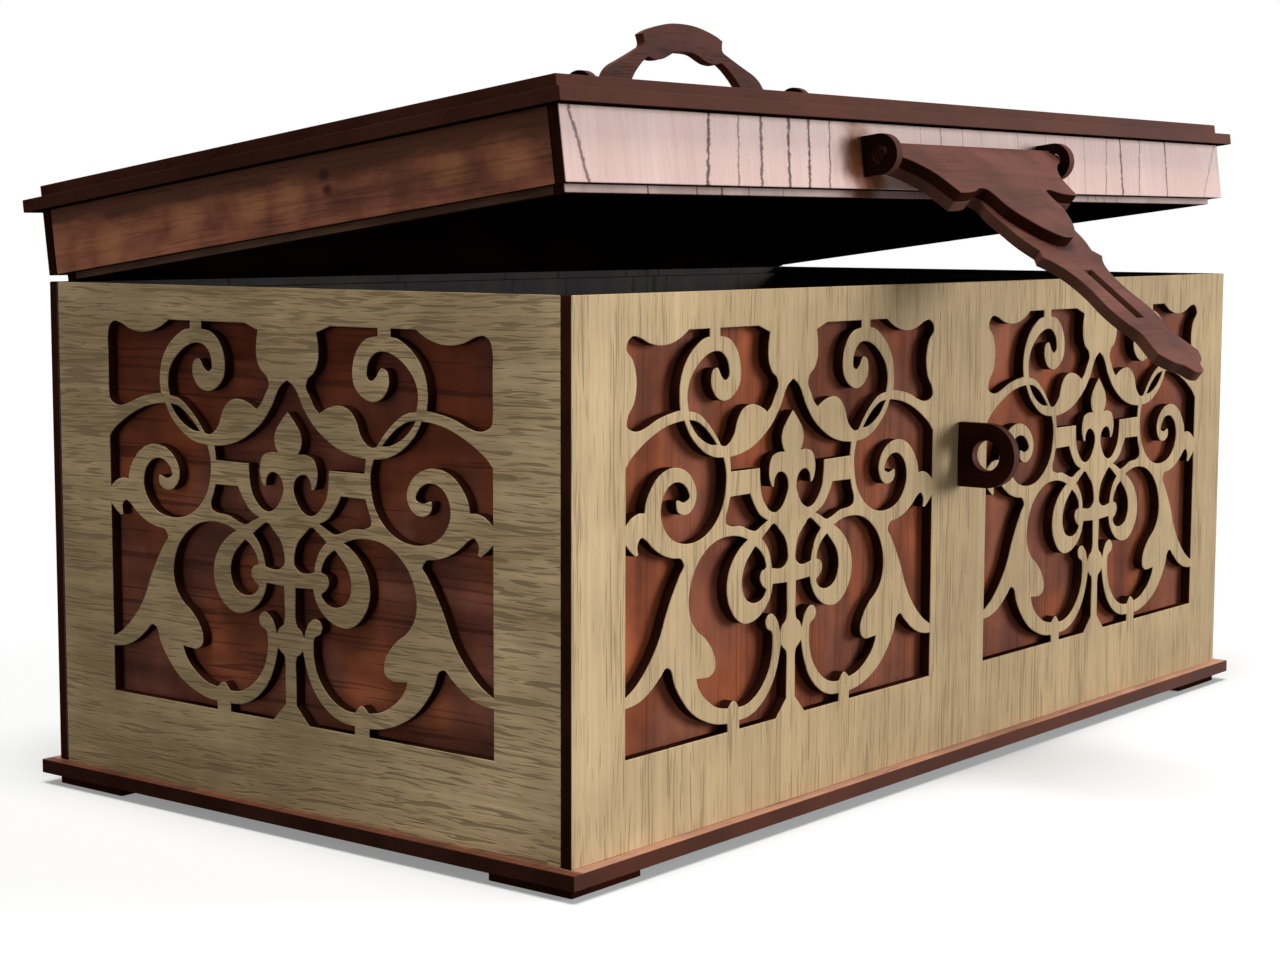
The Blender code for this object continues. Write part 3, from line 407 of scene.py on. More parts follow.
def thin(points):
    """Leave out the points that lie within FACET of the line between those that are kept."""
    along = points[-1] - points[0]
    length = math.hypot(along[0], along[1])
    away = points - points[0]
    if length > FACET:
        offsets = abs(away[:, 0] * along[1] - away[:, 1] * along[0]) / length
    else:
        offsets = np.hypot(away[:, 0], away[:, 1])
    worst = int(np.argmax(offsets))
    if len(points) < 3 or offsets[worst] < FACET:
        return points[[0, -1]]
    return np.vstack([thin(points[:worst + 1])[:-1], thin(points[worst:])])


def open_outline(shares, across, up):
    """A smooth line through an open list of shares, broken at its corners."""
    points = np.array([share[:2] for share in shares], dtype=float) * (across, up)
    corners = [len(share) > 2 for share in shares]
    stops = [0] + [i for i in range(1, len(points) - 1) if corners[i]] + [len(points) - 1]
    runs = [thin(smooth_run(points[a:b + 1])) for a, b in zip(stops, stops[1:])]
    return np.vstack([run[:-1] for run in runs] + [runs[-1][-1:]])


def closed_outline(shares, across, up):
    """A smooth loop through a list of shares that has at least one corner."""
    first = [len(share) > 2 for share in shares].index(True)
    return open_outline(shares[first:] + shares[:first + 1], across, up)[:-1]


def mirrored(points):
    return points[::-1] * (-1, 1)


def both_halves(half):
    """A loop from a half outline that starts and ends on the middle line."""
    return np.vstack([half, mirrored(half)[1:-1]])


def window_loops(middle, width, edge_shares):
    """The holes of one scroll window whose middle line is at the given place along the wall."""
    scale = (width / 2 / WINDOW_EDGE_SHARE, WINDOW_HEIGHT / 100)
    corner_hole = UPPER_CORNER_SHARES + edge_shares + BELOW_CORNER_SHARES
    halves = [closed_outline(shares, *scale) for shares in (
        UPPER_CURL_SHARES, corner_hole, LENS_SHARES, UNDER_BAR_SHARES, SIDE_CURL_SHARES, BUD_SHARES,
        TEARDROP_SHARES, BELLY_SHARES, STEM_SHARES, LOWER_CORNER_SHARES, LEAF_SHARES)]
    loops = [both_halves(open_outline(CROWN_SHARES, *scale))]
    loops += halves + [mirrored(half) for half in halves]
    return [loop + (middle, WINDOW_SILL) for loop in loops]


def arc(centre, radius, angles):
    """Points round a centre, at the given angles."""
    return np.array(centre) + radius * np.stack([np.cos(angles), np.sin(angles)], axis=1)


def ring(centre, radius):
    return arc(centre, radius, ROUND_ANGLES)


def board_outline(width, height):
    """A rectangle about the origin whose corners are small quarter circles."""
    reach = (width / 2 - CORNER_ROUND, height / 2 - CORNER_ROUND)
    quarter = arc(reach, CORNER_ROUND, np.linspace(0, QUARTER_TURN, CORNER_POINTS))
    half = np.vstack([quarter, mirrored(quarter)])
    return np.vstack([half, -half])


def nose_plate(root, centre, radius):
    """The outline of a plate with a round nose: the hull of its root's corners and a ring."""
    points = [*root, *ring(centre, radius).tolist()]
    return np.array([points[i] for i in convex_hull_2d(points)])


# Where each body stands: the box, the lid on its hinge, and the hasp and the handle on the lid

def standing(place, lean):
    """A frame whose origin is at a place, leaning open by an angle about -X."""
    return Matrix.Translation(place) @ Matrix.Rotation(-lean, 4, "X")


joints = {joint["name"]: joint for joint in frame["record"]["behaviour"]["joints"]}
lid_lean = -math.radians(joints["lid_hinge"]["range_deg"][0])
BODIES = {"box": standing((0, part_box("front_fret_panel")[0][1], 0), 0),
          "lid": standing(joints["lid_hinge"]["pos_m"], lid_lean),
          "hasp": standing(joints["hasp_swing"]["pos_m"], lid_lean + HASP_REST_ANGLE),
          "handle": standing(joints["handle_swing"]["pos_m"], lid_lean)}


# Meshes

FACING_FRONT = Euler((QUARTER_TURN, 0, 0)).to_matrix().to_4x4()
FACING_SIDE = Euler((QUARTER_TURN, 0, QUARTER_TURN)).to_matrix().to_4x4()
FACING_UP = Matrix.Identity(4)

# A sheet's finishes in order. Only plates have the last two, for their softened edges and for the
# edges across X, whose darker finishes are painted shade at the box's ends.
FACE, BACK, EDGE, SOFTENED, ENDS = range(5)

# At a sharp corner an inset point moves at most MITER_REACH times its inset. MITER_LEAST keeps the
# sum clear of zero where two edges nearly fold back on each other.
MITER_REACH = 2
MITER_LEAST = 0.05
SHARP_ANGLE = math.radians(35)


def signed_area(loop):
    after = np.roll(loop, -1, axis=0)
    return 0.5 * np.sum(loop[:, 0] * after[:, 1] - after[:, 0] * loop[:, 1])


def inward_miters(loop):
    """For each point of a loop, the way into the wood whose reach along both edges' normals is one,
    so that inset points stay parallel to both edges."""
    steps = np.roll(loop, -1, axis=0) - loop
    steps /= np.hypot(steps[:, 0], steps[:, 1])[:, None]
    after = np.stack([-steps[:, 1], steps[:, 0]], axis=1)
    middle = np.roll(after, 1, axis=0) + after
    miters = middle / np.maximum(np.sum(middle * after, axis=1), MITER_LEAST)[:, None]
    lengths = np.hypot(miters[:, 0], miters[:, 1])[:, None]
    return miters / np.maximum(lengths / MITER_REACH, 1)


def new_object(name, data):
    thing = bpy.data.objects.new(name, data)
    bpy.context.scene.collection.objects.link(thing)
    return thing


def finished(node, body, place, facing, points, faces, numbers, finishes):
    """A mesh object at the origin, with its place in its points. numbers says which of the
    finishes each face has."""
    matrix = np.array(BODIES[body] @ Matrix.Translation(place) @ facing)
    moved = np.c_[points, np.ones(len(points))] @ matrix.T
    mesh = bpy.data.meshes.new(node + "_fine")
    mesh.from_pydata(moved[:, :3].tolist(), [], faces)
    for finish in finishes:
        mesh.materials.append(FINISHES[finish])
    mesh.polygons.foreach_set("material_index", numbers)
    mesh.shade_smooth()
    mesh.set_sharp_from_angle(angle=SHARP_ANGLE)
    mesh.update()
    piece = new_object(node + "_fine", mesh)
    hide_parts(node)
    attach(piece, body)


def cut_sheet(node, loops, body, place, facing, finishes, slot="dark_wood", glue=0.0,
              thickness=SHEET, soft=SOFT_EDGE):
    """A piece of sheet with the first loop as its edge and the others as holes. A profile of four
    points is carried along each loop: face, upper wall, lower wall, back. Profile point k of loop
    point i lies at loop_i + inset_k * miter_i, at height_k through the sheet. glue carries the back
    on to the piece that it is glued to."""
    plate = len(finishes) > SOFTENED
    half = thickness / 2
    insets = np.array([soft, 0, 0, soft])[:, None, None]
    heights = np.array([half, half - soft, soft - half - glue, -half - glue])
    points, faces, numbers, flats, upper, lower = [], [], [], [], [], []
    start = 0
    for position, loop in enumerate(loops):
        if (signed_area(loop) > 0) != (position == 0):
            loop = loop[::-1]
        count = len(loop)
        rings = loop[None] + insets * inward_miters(loop)[None]
        depth = np.broadcast_to(heights[:, None, None], (4, count, 1))
        points.append(np.concatenate([rings, depth], axis=2).reshape(-1, 3))
        steps = np.abs(np.roll(loop, -1, axis=0) - loop)
        at_ends = plate & (steps[:, 1] > steps[:, 0])
        here = start + np.arange(count)
        for level, finish in enumerate(
                (SOFTENED, EDGE, SOFTENED) if plate else (FACE, EDGE, BACK)):
            one = here + level * count
            after = np.roll(one, -1)
            faces += np.stack([one, one + count, after + count, after], axis=1).tolist()
            numbers += np.where(at_ends, ENDS, finish).tolist()
        flats.append([Vector((x, y, 0)) for x, y in rings[0]])
        upper.append(here)
        lower.append(here + 3 * count)
        start += 4 * count
    points, upper, lower = np.vstack(points), np.concatenate(upper), np.concatenate(lower)
    triangles = np.array(tessellate_polygon(flats))
    one, two, three = points[upper[triangles]][:, :, :2].transpose(1, 0, 2)
    two, three = two - one, three - one
    backwards = two[:, 0] * three[:, 1] - two[:, 1] * three[:, 0] < 0
    triangles[backwards] = triangles[backwards][:, ::-1]
    faces += upper[triangles].tolist() + lower[triangles[:, ::-1]].tolist()
    numbers += [FACE] * len(triangles) + [BACK] * len(triangles)
    finished(node, body, place, facing, points, faces, numbers, finishes)


def board(node, size, *rest, **settings):
    """A rectangular piece of sheet, given its width and height."""
    cut_sheet(node, [board_outline(*size)], *rest, **settings)


# Shader tools

def arithmetic(operation):
    """A method that puts a Math node and gives what comes out of it."""
    def result(self, *values, clamp=False):
        return self.put("Math", dict(enumerate(values)), operation=operation, use_clamp=clamp)[0]
    return result


class Tree:
    """A shader's nodes. Each method adds one or more, and gives what comes out of them."""
    plus = arithmetic("ADD")
    minus = arithmetic("SUBTRACT")
    times = arithmetic("MULTIPLY")
    over = arithmetic("DIVIDE")
    larger = arithmetic("MAXIMUM")
    size = arithmetic("ABSOLUTE")
    below = arithmetic("LESS_THAN")

    def __init__(self, tree):
        self.nodes = tree.nodes
        self.link = tree.links.new

    def put(self, kind, sockets, **settings):
        """A new node's outputs. Its inputs are given values, or are linked to other outputs."""
        node = self.nodes.new("ShaderNode" + kind)
        for name, value in settings.items():
            setattr(node, name, value)
        for key, value in sockets.items():
            if isinstance(value, bpy.types.NodeSocket):
                self.link(value, node.inputs[key])
            else:
                node.inputs[key].default_value = value
        return node.outputs

    def placed(self, group, *values):
        """A node group, given its inputs in order."""
        return self.put("Group", dict(enumerate(values)), node_tree=group)

    def axes(self, place):
        return self.put("SeparateXYZ", {0: place})

    def stretched(self, place, factors):
        return self.put("VectorMath", {0: place, 1: factors}, operation="MULTIPLY")[0]

    def noise(self, place, scale, detail, roughness=0.5, stretch=(1, 1, 1)):
        """A cloud that runs from about 0 to 1, where the place is first stretched."""
        if stretch != (1, 1, 1):
            place = self.stretched(place, stretch)
        return self.put("TexNoise", {"Vector": place, "Scale": scale, "Detail": detail,
                                     "Roughness": roughness})[0]

    def sway(self, cloud, amount):
        """A cloud's distance from its middle, times an amount."""
        return self.times(self.minus(cloud, 0.5), amount)

    def span(self, value, low, high, out_low=0.0, out_high=1.0):
        """The value's place between low and high, held to that range, as a smooth step."""
        sockets = dict(enumerate((value, low, high, out_low, out_high)))
        return self.put("MapRange", sockets, interpolation_type="SMOOTHSTEP")[0]

    def blend(self, factor, one, other, way="MIX"):
        """One colour blended into the other. A colour is an output, three shares or one grey."""
        def colour(value):
            if isinstance(value, bpy.types.NodeSocket):
                return value
            return (*value, 1) if isinstance(value, tuple) else (value, value, value, 1)
        return self.put("Mix", {0: factor, 6: colour(one), 7: colour(other)}, data_type="RGBA",
                        blend_type=way)[2]

    def tint(self, colour, mask, low, high):
        """The colour multiplied by a tone that runs from low to high with a mask."""
        return self.blend(1.0, colour, self.blend(mask, low, high), "MULTIPLY")

    def dress(self, surface, colour, height, relief):
        """Give a surface its colour and its relief."""
        self.link(colour, surface["Base Color"])
        self.link(self.put("Bump", {"Height": height, "Distance": relief})[0], surface["Normal"])


def new_group(build, vectors, numbers, results):
    """A node group with named sockets, built by a function of its tree and its given inputs."""
    group = bpy.data.node_groups.new(build.__name__, "ShaderNodeTree")
    for way, kind, labels in (("INPUT", "Vector", vectors), ("INPUT", "Float", numbers),
                              ("OUTPUT", "Float", results)):
        for label in labels:
            group.interface.new_socket(label, in_out=way, socket_type="NodeSocket" + kind)
    given = group.nodes.new("NodeGroupInput").outputs[:len(vectors) + len(numbers)]
    out = group.nodes.new("NodeGroupOutput").inputs
    for label, result in zip(results, build(Tree(group), *given)):
        group.links.new(result, out[label])
    return group


def wood_grain(tree, place, band_width, waviness, pore_width, pore_length, pore_share, crowding):
    """Wood grain along Z. Bands are the soft growth bands, Streaks the fine fibres, and Pores the
    dark dashes, a coarse set and a fine one, which crowd where the bands are dark."""
    slow, quick = (tree.noise(place, scale, 1.0, stretch=(1, 1, 0.4)) for scale in SWAY_SCALES)
    sway = tree.plus(tree.sway(slow, waviness),
                     tree.sway(quick, tree.times(waviness, QUICK_SWAY_SHARE)))
    shift = tree.put("CombineXYZ", {0: sway, 1: sway, 2: 0.0})[0]
    place = tree.put("VectorMath", {0: place, 1: shift}, operation="ADD")[0]
    bands = tree.noise(place, tree.over(1.0, band_width), 3.0, 0.55, (1, 1, 0.045))
    streaks = tree.noise(place, tree.over(0.6, pore_width), 3.0, 0.6, (1, 1, 0.018))
    squeeze = tree.over(pore_width, pore_length)
    pore_place = tree.stretched(place, tree.put("CombineXYZ", {0: 1.0, 1: 1.0, 2: squeeze})[0])
    crowd = tree.plus(tree.times(tree.minus(0.5, bands), crowding), pore_share)
    pores = 0.0
    for fineness, depth in PORE_SETS:
        dashes = tree.noise(pore_place, tree.over(fineness, pore_width), 0.0)
        dashes = tree.span(tree.plus(dashes, crowd), *PORE_SPAN, 0.0, depth)
        pores = tree.larger(pores, dashes)
    height = tree.minus(tree.times(streaks, 0.4), pores)
    return bands, streaks, pores, height


def stain_blotches(tree, place, size):
    """Soft cloudy patches, for stain that took unevenly and for handling."""
    cloud = tree.noise(place, tree.over(1.0, size), 3.0, 0.55)
    return [tree.span(cloud, *PATCH_SPAN)]


def paint_crack(tree, place, wobble, breaks, foot, lean, half_width, strength):
    """One crack down a painted board: a thin ragged line that crosses X at its foot and leans with
    Z. The wobble and breaks come from outside, so that all the cracks of a board share them."""
    x, _, z = tree.axes(place)
    line = tree.plus(foot, tree.times(z, lean))
    line = tree.plus(line, tree.sway(wobble, CRACK_WOBBLE))
    away = tree.size(tree.minus(x, line))
    width = tree.times(half_width, tree.span(breaks, *FIBRE_SPAN, 0.5, 2.0))
    core = tree.minus(1.0, tree.over(away, width), clamp=True)
    core = tree.times(core, CRACK_HARDNESS, clamp=True)
    return [tree.times(core, strength)]


def soft_spot(tree, place, middle, stretch, radius):
    """A soft ragged spot at a place, such as a knot or a painted shadow. Its stretch weighs the
    axes.
    """
    away = tree.put("VectorMath", {0: place, 1: middle}, operation="SUBTRACT")[0]
    away = tree.stretched(away, stretch)
    reach = tree.put("VectorMath", {0: away}, operation="LENGTH")["Value"]
    ragged = tree.times(tree.noise(place, RAGGED, 1.0), 0.8)
    return [tree.span(tree.plus(tree.over(reach, radius), ragged), *SPOT_SPAN, 1.0, 0.0)]


GRAIN = new_group(
    wood_grain, ["Vector"],
    ["Band Width", "Waviness", "Pore Width", "Pore Length", "Pore Share", "Crowding"],
    ["Bands", "Streaks", "Pores", "Height"])
BLOTCHES = new_group(stain_blotches, ["Vector"], ["Size"], ["Patches"])
CRACK = new_group(paint_crack, ["Vector"],
                  ["Wobble", "Breaks", "Foot", "Lean", "Half Width", "Strength"], ["Crack"])
SPOT = new_group(soft_spot, ["Vector", "Middle", "Stretch"], ["Radius"], ["Spot"])


# Tones. Each takes a tree, the place in the body's frame and a colour, and gives a new colour.

def far_tone(axis, near, far, deepest):
    """A tone that deepens the wood from one place to another along an axis."""
    def tone(tree, place, colour):
        return tree.tint(colour, tree.span(tree.axes(place)[axis], near, far), 1, deepest)
    return tone


def base_tone(tree, place, colour):
    """The base plate: painted light on its ledge but for its left strip, which stays dark as
    painted shade, and painted shade inside the box.
    """
    colour = far_tone(0, *LEDGE_PAINTED_LIGHT)(tree, place, colour)
    # Painted shade on the floor inside the walls
    x, y, _ = tree.axes(place)
    within_x = tree.below(tree.size(x), BOX_WIDTH / 2 - SHEET)
    within_y = tree.below(tree.size(tree.minus(y, BOX_DEPTH / 2)), BOX_DEPTH / 2 - SHEET)
    return tree.tint(colour, tree.times(within_x, within_y), 1, INSIDE_FLOOR_SHADE)


def front_oak_tone(tree, place, colour):
    """The front wall: deeper towards its left end, with streaky dark columns."""
    colour = far_tone(0, *OAK_LEFT_END)(tree, place, colour)
    streaks = tree.span(tree.noise(place, BURN_LINES, 2.0, 0.6, (1, 1, 0.02)), *STREAK_SPAN)
    x, _, z = tree.axes(place)
    columns = 0.0
    for middle, reach in STREAKY_COLUMNS:
        away = tree.size(tree.minus(x, middle))
        columns = tree.larger(columns, tree.span(away, 0.3 * reach, reach, 1.0, 0.0))
    level = tree.larger(tree.span(z, *STREAKS_TOP, 0.25, 1.0),
                        tree.span(z, *STREAKS_FOOT, 0.7, 0.0))
    amount = tree.times(tree.times(columns, streaks), level)
    return tree.blend(tree.times(amount, STREAK_STRENGTH), colour, OAK_PORE)


def side_oak_tone(tree, place, colour):
    """The side walls: deeper towards the back, and most so at the back's foot."""
    colour = far_tone(1, *OAK_BACK_END)(tree, place, colour)
    _, y, z = tree.axes(place)
    corner = tree.times(tree.span(y, *BACK_FOOT_ALONG), tree.span(z, *BACK_FOOT_UP, 1.0, 0.0))
    return tree.tint(colour, corner, 1, OAK_BACK_FOOT)


def cherry_tone(tree, place, colour):
    """The liners: warmer and cooler patches."""
    cloud = tree.noise(place, CHERRY_CLOUD, 2.0, stretch=(1, 1, 0.7))
    return tree.tint(colour, tree.span(cloud, *CHERRY_SPAN), CHERRY_COOL, CHERRY_WARM)


def side_cherry_tone(tree, place, colour):
    """The side liners: patched like the others, and deeper towards the rim as painted shade."""
    colour = cherry_tone(tree, place, colour)
    return far_tone(2, *CHERRY_RIM_SHADE)(tree, place, colour)


def lid_side_tone(tree, place, colour):
    """The lid's sides: their upper half darkened as painted shade under the top plates, with warm
    patches below and two knots.
    """
    def spotted(colour, spots, radius, amount, other):
        for y, z in spots:
            spot = tree.placed(SPOT, place, (0, y, z), SIDE_SPOT_STRETCH, radius)[0]
            colour = tree.blend(tree.times(spot, amount), colour, other)
        return colour
    colour = spotted(colour, SIDE_PATCHES, SIDE_PATCH_RADIUS, 0.5, SIDE_WARM)
    drift = tree.noise(place, LID_SIDE_CLOUD, 3.0, 0.6, (1, 0.25, 1))
    height = tree.plus(tree.axes(place)[2], tree.sway(drift, SIDE_DARK_DRIFT))
    # Painted shade: the upper part darkens, as under the top plates' overhang
    colour = tree.blend(tree.span(height, SIDE_DARK_FROM, SIDE_DARK_FULL), colour, SIDE_TOP_SHADE)
    return spotted(colour, SIDE_KNOTS, SIDE_KNOT_RADIUS, 0.85, STAIN_LINE)


# Finishes

FINISHES = {}
UPRIGHT = (0, 0, 0)
ALONG_X = (0, QUARTER_TURN, 0)
ALONG_Y = (QUARTER_TURN, 0, 0)
ROUND_THE_CORNER = (0, 0, QUARTER_TURN)


def new_finish(name, roughness, sheen):
    """A named material, as its tree and its surface's inputs, where the constants are set."""
    finish = FINISHES[name] = bpy.data.materials.new(name)
    finish.use_nodes = True
    surface = finish.node_tree.nodes["Principled BSDF"].inputs
    surface["Roughness"].default_value = roughness
    surface["Specular IOR Level"].default_value = sheen
    return Tree(finish.node_tree), surface


def body_place(tree, body):
    """Object coordinates brought into a body's frame."""
    home = BODIES[body]
    sockets = {"Vector": tree.put("TexCoord", {})["Object"], "Location": home.to_translation(),
               "Rotation": tuple(home.to_euler())}
    return tree.put("Mapping", sockets, vector_type="TEXTURE")[0]


def turned(tree, place, turn):
    """The place turned so that the grain runs along Z."""
    return tree.put("Mapping", {"Vector": place, "Rotation": turn}, vector_type="POINT")[0]


def grained_finish(name, body, turn, colours, line, grain, crowding=0.35, contrast=1.0, blotch=0.35,
                   blotch_size=0.03, sheen=0.25, pore_strength=0.8, fibre=0.12, tone=None):
    """Bare or stained wood: bands between two colours, fibres, soft patches and dark pores. grain
    is the bands' width and waviness, and the pores' width, length and share."""
    tree, surface = new_finish(name, WOOD_ROUGHNESS, sheen)
    place = body_place(tree, body)
    grain_place = turned(tree, place, turn)
    bands, streaks, pores, height = tree.placed(GRAIN, grain_place, *grain, crowding)
    reach = BAND_HALF_SPAN / contrast
    pale, deep = colours
    colour = tree.blend(tree.span(bands, 0.5 - reach, 0.5 + reach), deep, pale)
    colour = tree.tint(colour, tree.span(streaks, *FIBRE_SPAN), 1 - fibre, 1 + fibre / 2)
    patches = tree.placed(BLOTCHES, grain_place, blotch_size)[0]
    colour = tree.tint(colour, patches, 1 - blotch, 1 + blotch / 3)
    if tone:
        colour = tone(tree, place, colour)
    colour = tree.blend(tree.times(pores, pore_strength), colour, line)
    gloss = tree.plus(WOOD_ROUGHNESS - 0.06, tree.times(streaks, 0.16))
    tree.link(gloss, surface["Roughness"])
    tree.dress(surface, colour, height, WOOD_RELIEF)


def cut_edge_finish(name, colours, roughness, sheen):
    """A laser-cut edge: fine upright burn lines with lighter and darker patches."""
    tree, surface = new_finish(name, roughness, sheen)
    place = tree.put("TexCoord", {})["Object"]
    lines = tree.noise(place, BURN_LINES, 2.0, 0.6)
    patches = tree.placed(BLOTCHES, place, EDGE_PATCH)[0]
    mask = tree.plus(tree.times(tree.span(lines, *FIBRE_SPAN), 0.25), tree.times(patches, 0.75))
    pale, deep = colours
    tree.dress(surface, tree.blend(mask, deep, pale), lines, EDGE_RELIEF)


def painted_finish(name, body, colours, line, cracks, painted_shadows=(), turn=UPRIGHT):
    """Paint over upright boards, with brush marks, dark ragged cracks, faint scuffs and a brown
    painted shadow at each of the given places.
    """
    tree, surface = new_finish(name, PAINT_ROUGHNESS, PAINT_SHEEN)
    place = turned(tree, body_place(tree, body), turn)
    patches = tree.placed(BLOTCHES, tree.stretched(place, (1, 1, 0.5)), PAINT_PATCH)[0]
    pale, deep = colours
    colour = tree.blend(patches, deep, pale)
    brush = tree.noise(place, BRUSH_MARKS, 2.0, 0.6, (1, 1, 0.05))
    colour = tree.tint(colour, tree.span(brush, *FIBRE_SPAN), BRUSHED, 1.03)
    up = tree.axes(place)[2]
    colour = tree.tint(colour, tree.span(up, 0.0, LID_HEIGHT), PAINT_LOW, 1)
    # Painted shadow: each spot tints the paint brown where the bracket's shadow falls
    for middle, radius in painted_shadows:
        spot = tree.placed(SPOT, place, middle, BRACKET_SHADOW_STRETCH, radius)[0]
        colour = tree.tint(colour, spot, 1, BRACKET_SHADOW_TINT)
    scuff_cloud = tree.noise(place, BRUSH_MARKS, 3.0, 0.75, (1, 1, 0.6))
    spared = tree.placed(BLOTCHES, place, UNSCUFFED_PATCH)[0]
    scuffs = tree.times(tree.span(scuff_cloud, *SCUFF_SPAN), tree.minus(1.0, spared))
    marks = tree.times(scuffs, SCUFF_STRENGTH)
    wobble = tree.noise(place, CRACK_CLOUD, 4.0, 0.7, (0.35, 0.35, 1))
    breaks = tree.noise(place, BRUSH_MARKS, 3.0, 0.75)
    for crack in cracks:
        marks = tree.larger(marks, tree.placed(CRACK, place, wobble, breaks, *crack)[0])
    tree.dress(surface, tree.blend(marks, colour, line), brush, PAINT_RELIEF)


grained_finish("oak_upright", "box", UPRIGHT, OAK_FRONT, OAK_PORE,
               (0.007, 0.004, 0.0008, 0.02, 0.315), crowding=0.45, contrast=0.9, blotch=0.12,
               pore_strength=0.42, fibre=0.11, sheen=0.1, tone=front_oak_tone)
grained_finish("oak_level", "box", ALONG_Y, OAK_SIDE, OAK_PORE,
               (0.009, 0.009, 0.0009, 0.013, 0.365), crowding=0.45, blotch=0.24,
               pore_strength=0.68, fibre=0.16, sheen=0.1, tone=side_oak_tone)
grained_finish("cherry_upright", "box", UPRIGHT, CHERRY_FRONT, CHERRY_LINE,
               (0.016, 0.006, 0.0016, 0.09, 0.29), crowding=0.3, blotch_size=0.02,
               pore_strength=0.28, sheen=0.06, tone=cherry_tone)
grained_finish("cherry_level", "box", ALONG_Y, CHERRY_SIDE, CHERRY_LINE,
               (0.016, 0.008, 0.0018, 0.1, 0.31), crowding=0.3, blotch_size=0.018,
               pore_strength=0.6, sheen=0.04, tone=side_cherry_tone)
for name, body, turn, colours, line, sheen in (
        ("stain_top", "lid", ALONG_X, STAIN, STAIN_LINE, 0.12),
        ("stain_hasp", "hasp", ALONG_X, STAIN, STAIN_LINE, 0.12),
        ("stain_handle", "handle", ALONG_X, HANDLE_STAIN, STAIN_LINE, 0.08),
        # The shade_ finishes are painted shade
        ("shade_bracket", "lid", ALONG_Y, BRACKET_PAINTED_SHADE, INSIDE_PAINTED_SHADE[0], 0.0),
        ("shade_lid", "lid", ALONG_Y, PAINTED_SHADE_STAIN, STAIN_LINE, 0.04),
        ("shade_staple", "box", ALONG_Y, STAPLE_PAINTED_SHADE, INSIDE_PAINTED_SHADE[0], 0.0),
        ("lip_side", "lid", ALONG_Y, LIP_STAIN, STAIN_LINE, 0.04),
        ("shade_box", "box", ALONG_X, PAINTED_SHADE_STAIN, STAIN_LINE, 0.04),
        ("inside_lid", "lid", ALONG_X, INSIDE_PAINTED_SHADE, INSIDE_CRACK_SHADED, 0.0)):
    grained_finish(name, body, turn, colours, line, (0.012, 0.006, 0.001, 0.025, 0.3),
                   blotch_size=0.022, sheen=sheen, pore_strength=0.25, fibre=0.1)
grained_finish("lid_side", "lid", ALONG_Y, SIDE_STAIN, STAIN_LINE,
               (0.012, 0.008, 0.001, 0.022, 0.3), blotch_size=0.011, sheen=0.05,
               pore_strength=0.25, tone=lid_side_tone)
grained_finish("ledge_wood", "box", ALONG_X, LEDGE, STAIN_LINE,
               (0.01, 0.005, 0.001, 0.025, 0.28), blotch=0.25, pore_strength=0.4, sheen=0.08,
               tone=base_tone)
grained_finish("dowel", "box", ALONG_X, DOWEL, STAIN_LINE,
               (0.002, 0.001, 0.0002, 0.004, 0.3), blotch=0.2)
for name, colours, roughness, sheen in (
        ("burnt_edge", BURNT_EDGE, 0.8, 0.0), ("stained_edge", TOP_EDGE, 0.6, 0.05),
        ("side_edge", SIDE_EDGE_SHADE, 0.7, 0.0), ("base_edge", BASE_EDGE_SHADE, 0.7, 0.0),
        ("hasp_edge", HASP_EDGE, 0.65, 0.03)):
    cut_edge_finish(name, colours, roughness, sheen)
painted_finish("paint_lid", "lid", PAINT, PAINT_CRACK, LID_FRONT_CRACKS, BRACKET_SHADOWS)
painted_finish("paint_lip", "lid", LIP_PAINT_SHADED, PAINT_CRACK, LIP_CRACKS, BRACKET_SHADOWS)
painted_finish("paint_inside", "box", INSIDE_PAINT_SHADED, INSIDE_CRACK_SHADED, INSIDE_CRACKS)
painted_finish("paint_inside_end", "box", INSIDE_PAINT_SHADED, INSIDE_CRACK_SHADED, INSIDE_CRACKS,
               turn=ROUND_THE_CORNER)


# The pieces

SIDES = (("left", -1), ("right", 1))
PLATE_SIZE = (BOX_WIDTH + 2 * PLATE_OVERHANG, BOX_DEPTH + 2 * PLATE_OVERHANG)
PANEL_INSET = SHEET / 2
LINER_INSET = LAYER + SHEET / 2


def make_base():
    """The base plate, whose back is carried down to the feet, and the feet."""
    board("base_plate", PLATE_SIZE, "box", (0, BOX_DEPTH / 2, WALL_BOTTOM - SHEET / 2), FACING_UP,
          ("ledge_wood", "shade_box", "stained_edge", "stained_edge", "base_edge"),
          glue=2 * GLUE_GAP)
    foot_x = BOX_WIDTH / 2 - FOOT_SIDE / 2
    for depth_name, foot_y in (("front", FOOT_SIDE / 2), ("back", BOX_DEPTH - FOOT_SIDE / 2)):
        for side_name, side in SIDES:
            board(f"foot_{depth_name}_{side_name}", (FOOT_SIDE, FOOT_SIDE), "box",
                  (side * foot_x, foot_y, SHEET / 2), FACING_UP,
                  ("shade_box", "shade_box", "burnt_edge"))


def wall(node, body, side, loops, inset, z, faces, slot):
    """A wall on one side of the box or the lid, at an inset from the outside. Its middle's height
    is in the box's frame, and faces are the finishes of its outer and its inner face."""
    middle_x, middle_y = BOX_WIDTH / 2, BOX_DEPTH / 2
    x, y, facing, order = {
        "front": (0, inset, FACING_FRONT, 1), "back": (0, BOX_DEPTH - inset, FACING_FRONT, -1),
        "left": (inset - middle_x, middle_y, FACING_SIDE, -1),
        "right": (middle_x - inset, middle_y, FACING_SIDE, 1)}[side]
    if body == "lid":
        y, z = y - HINGE_Y, z - HINGE_Z
    cut_sheet(node, loops, body, (x, y, z), facing, (*faces[::order], "burnt_edge"), slot)


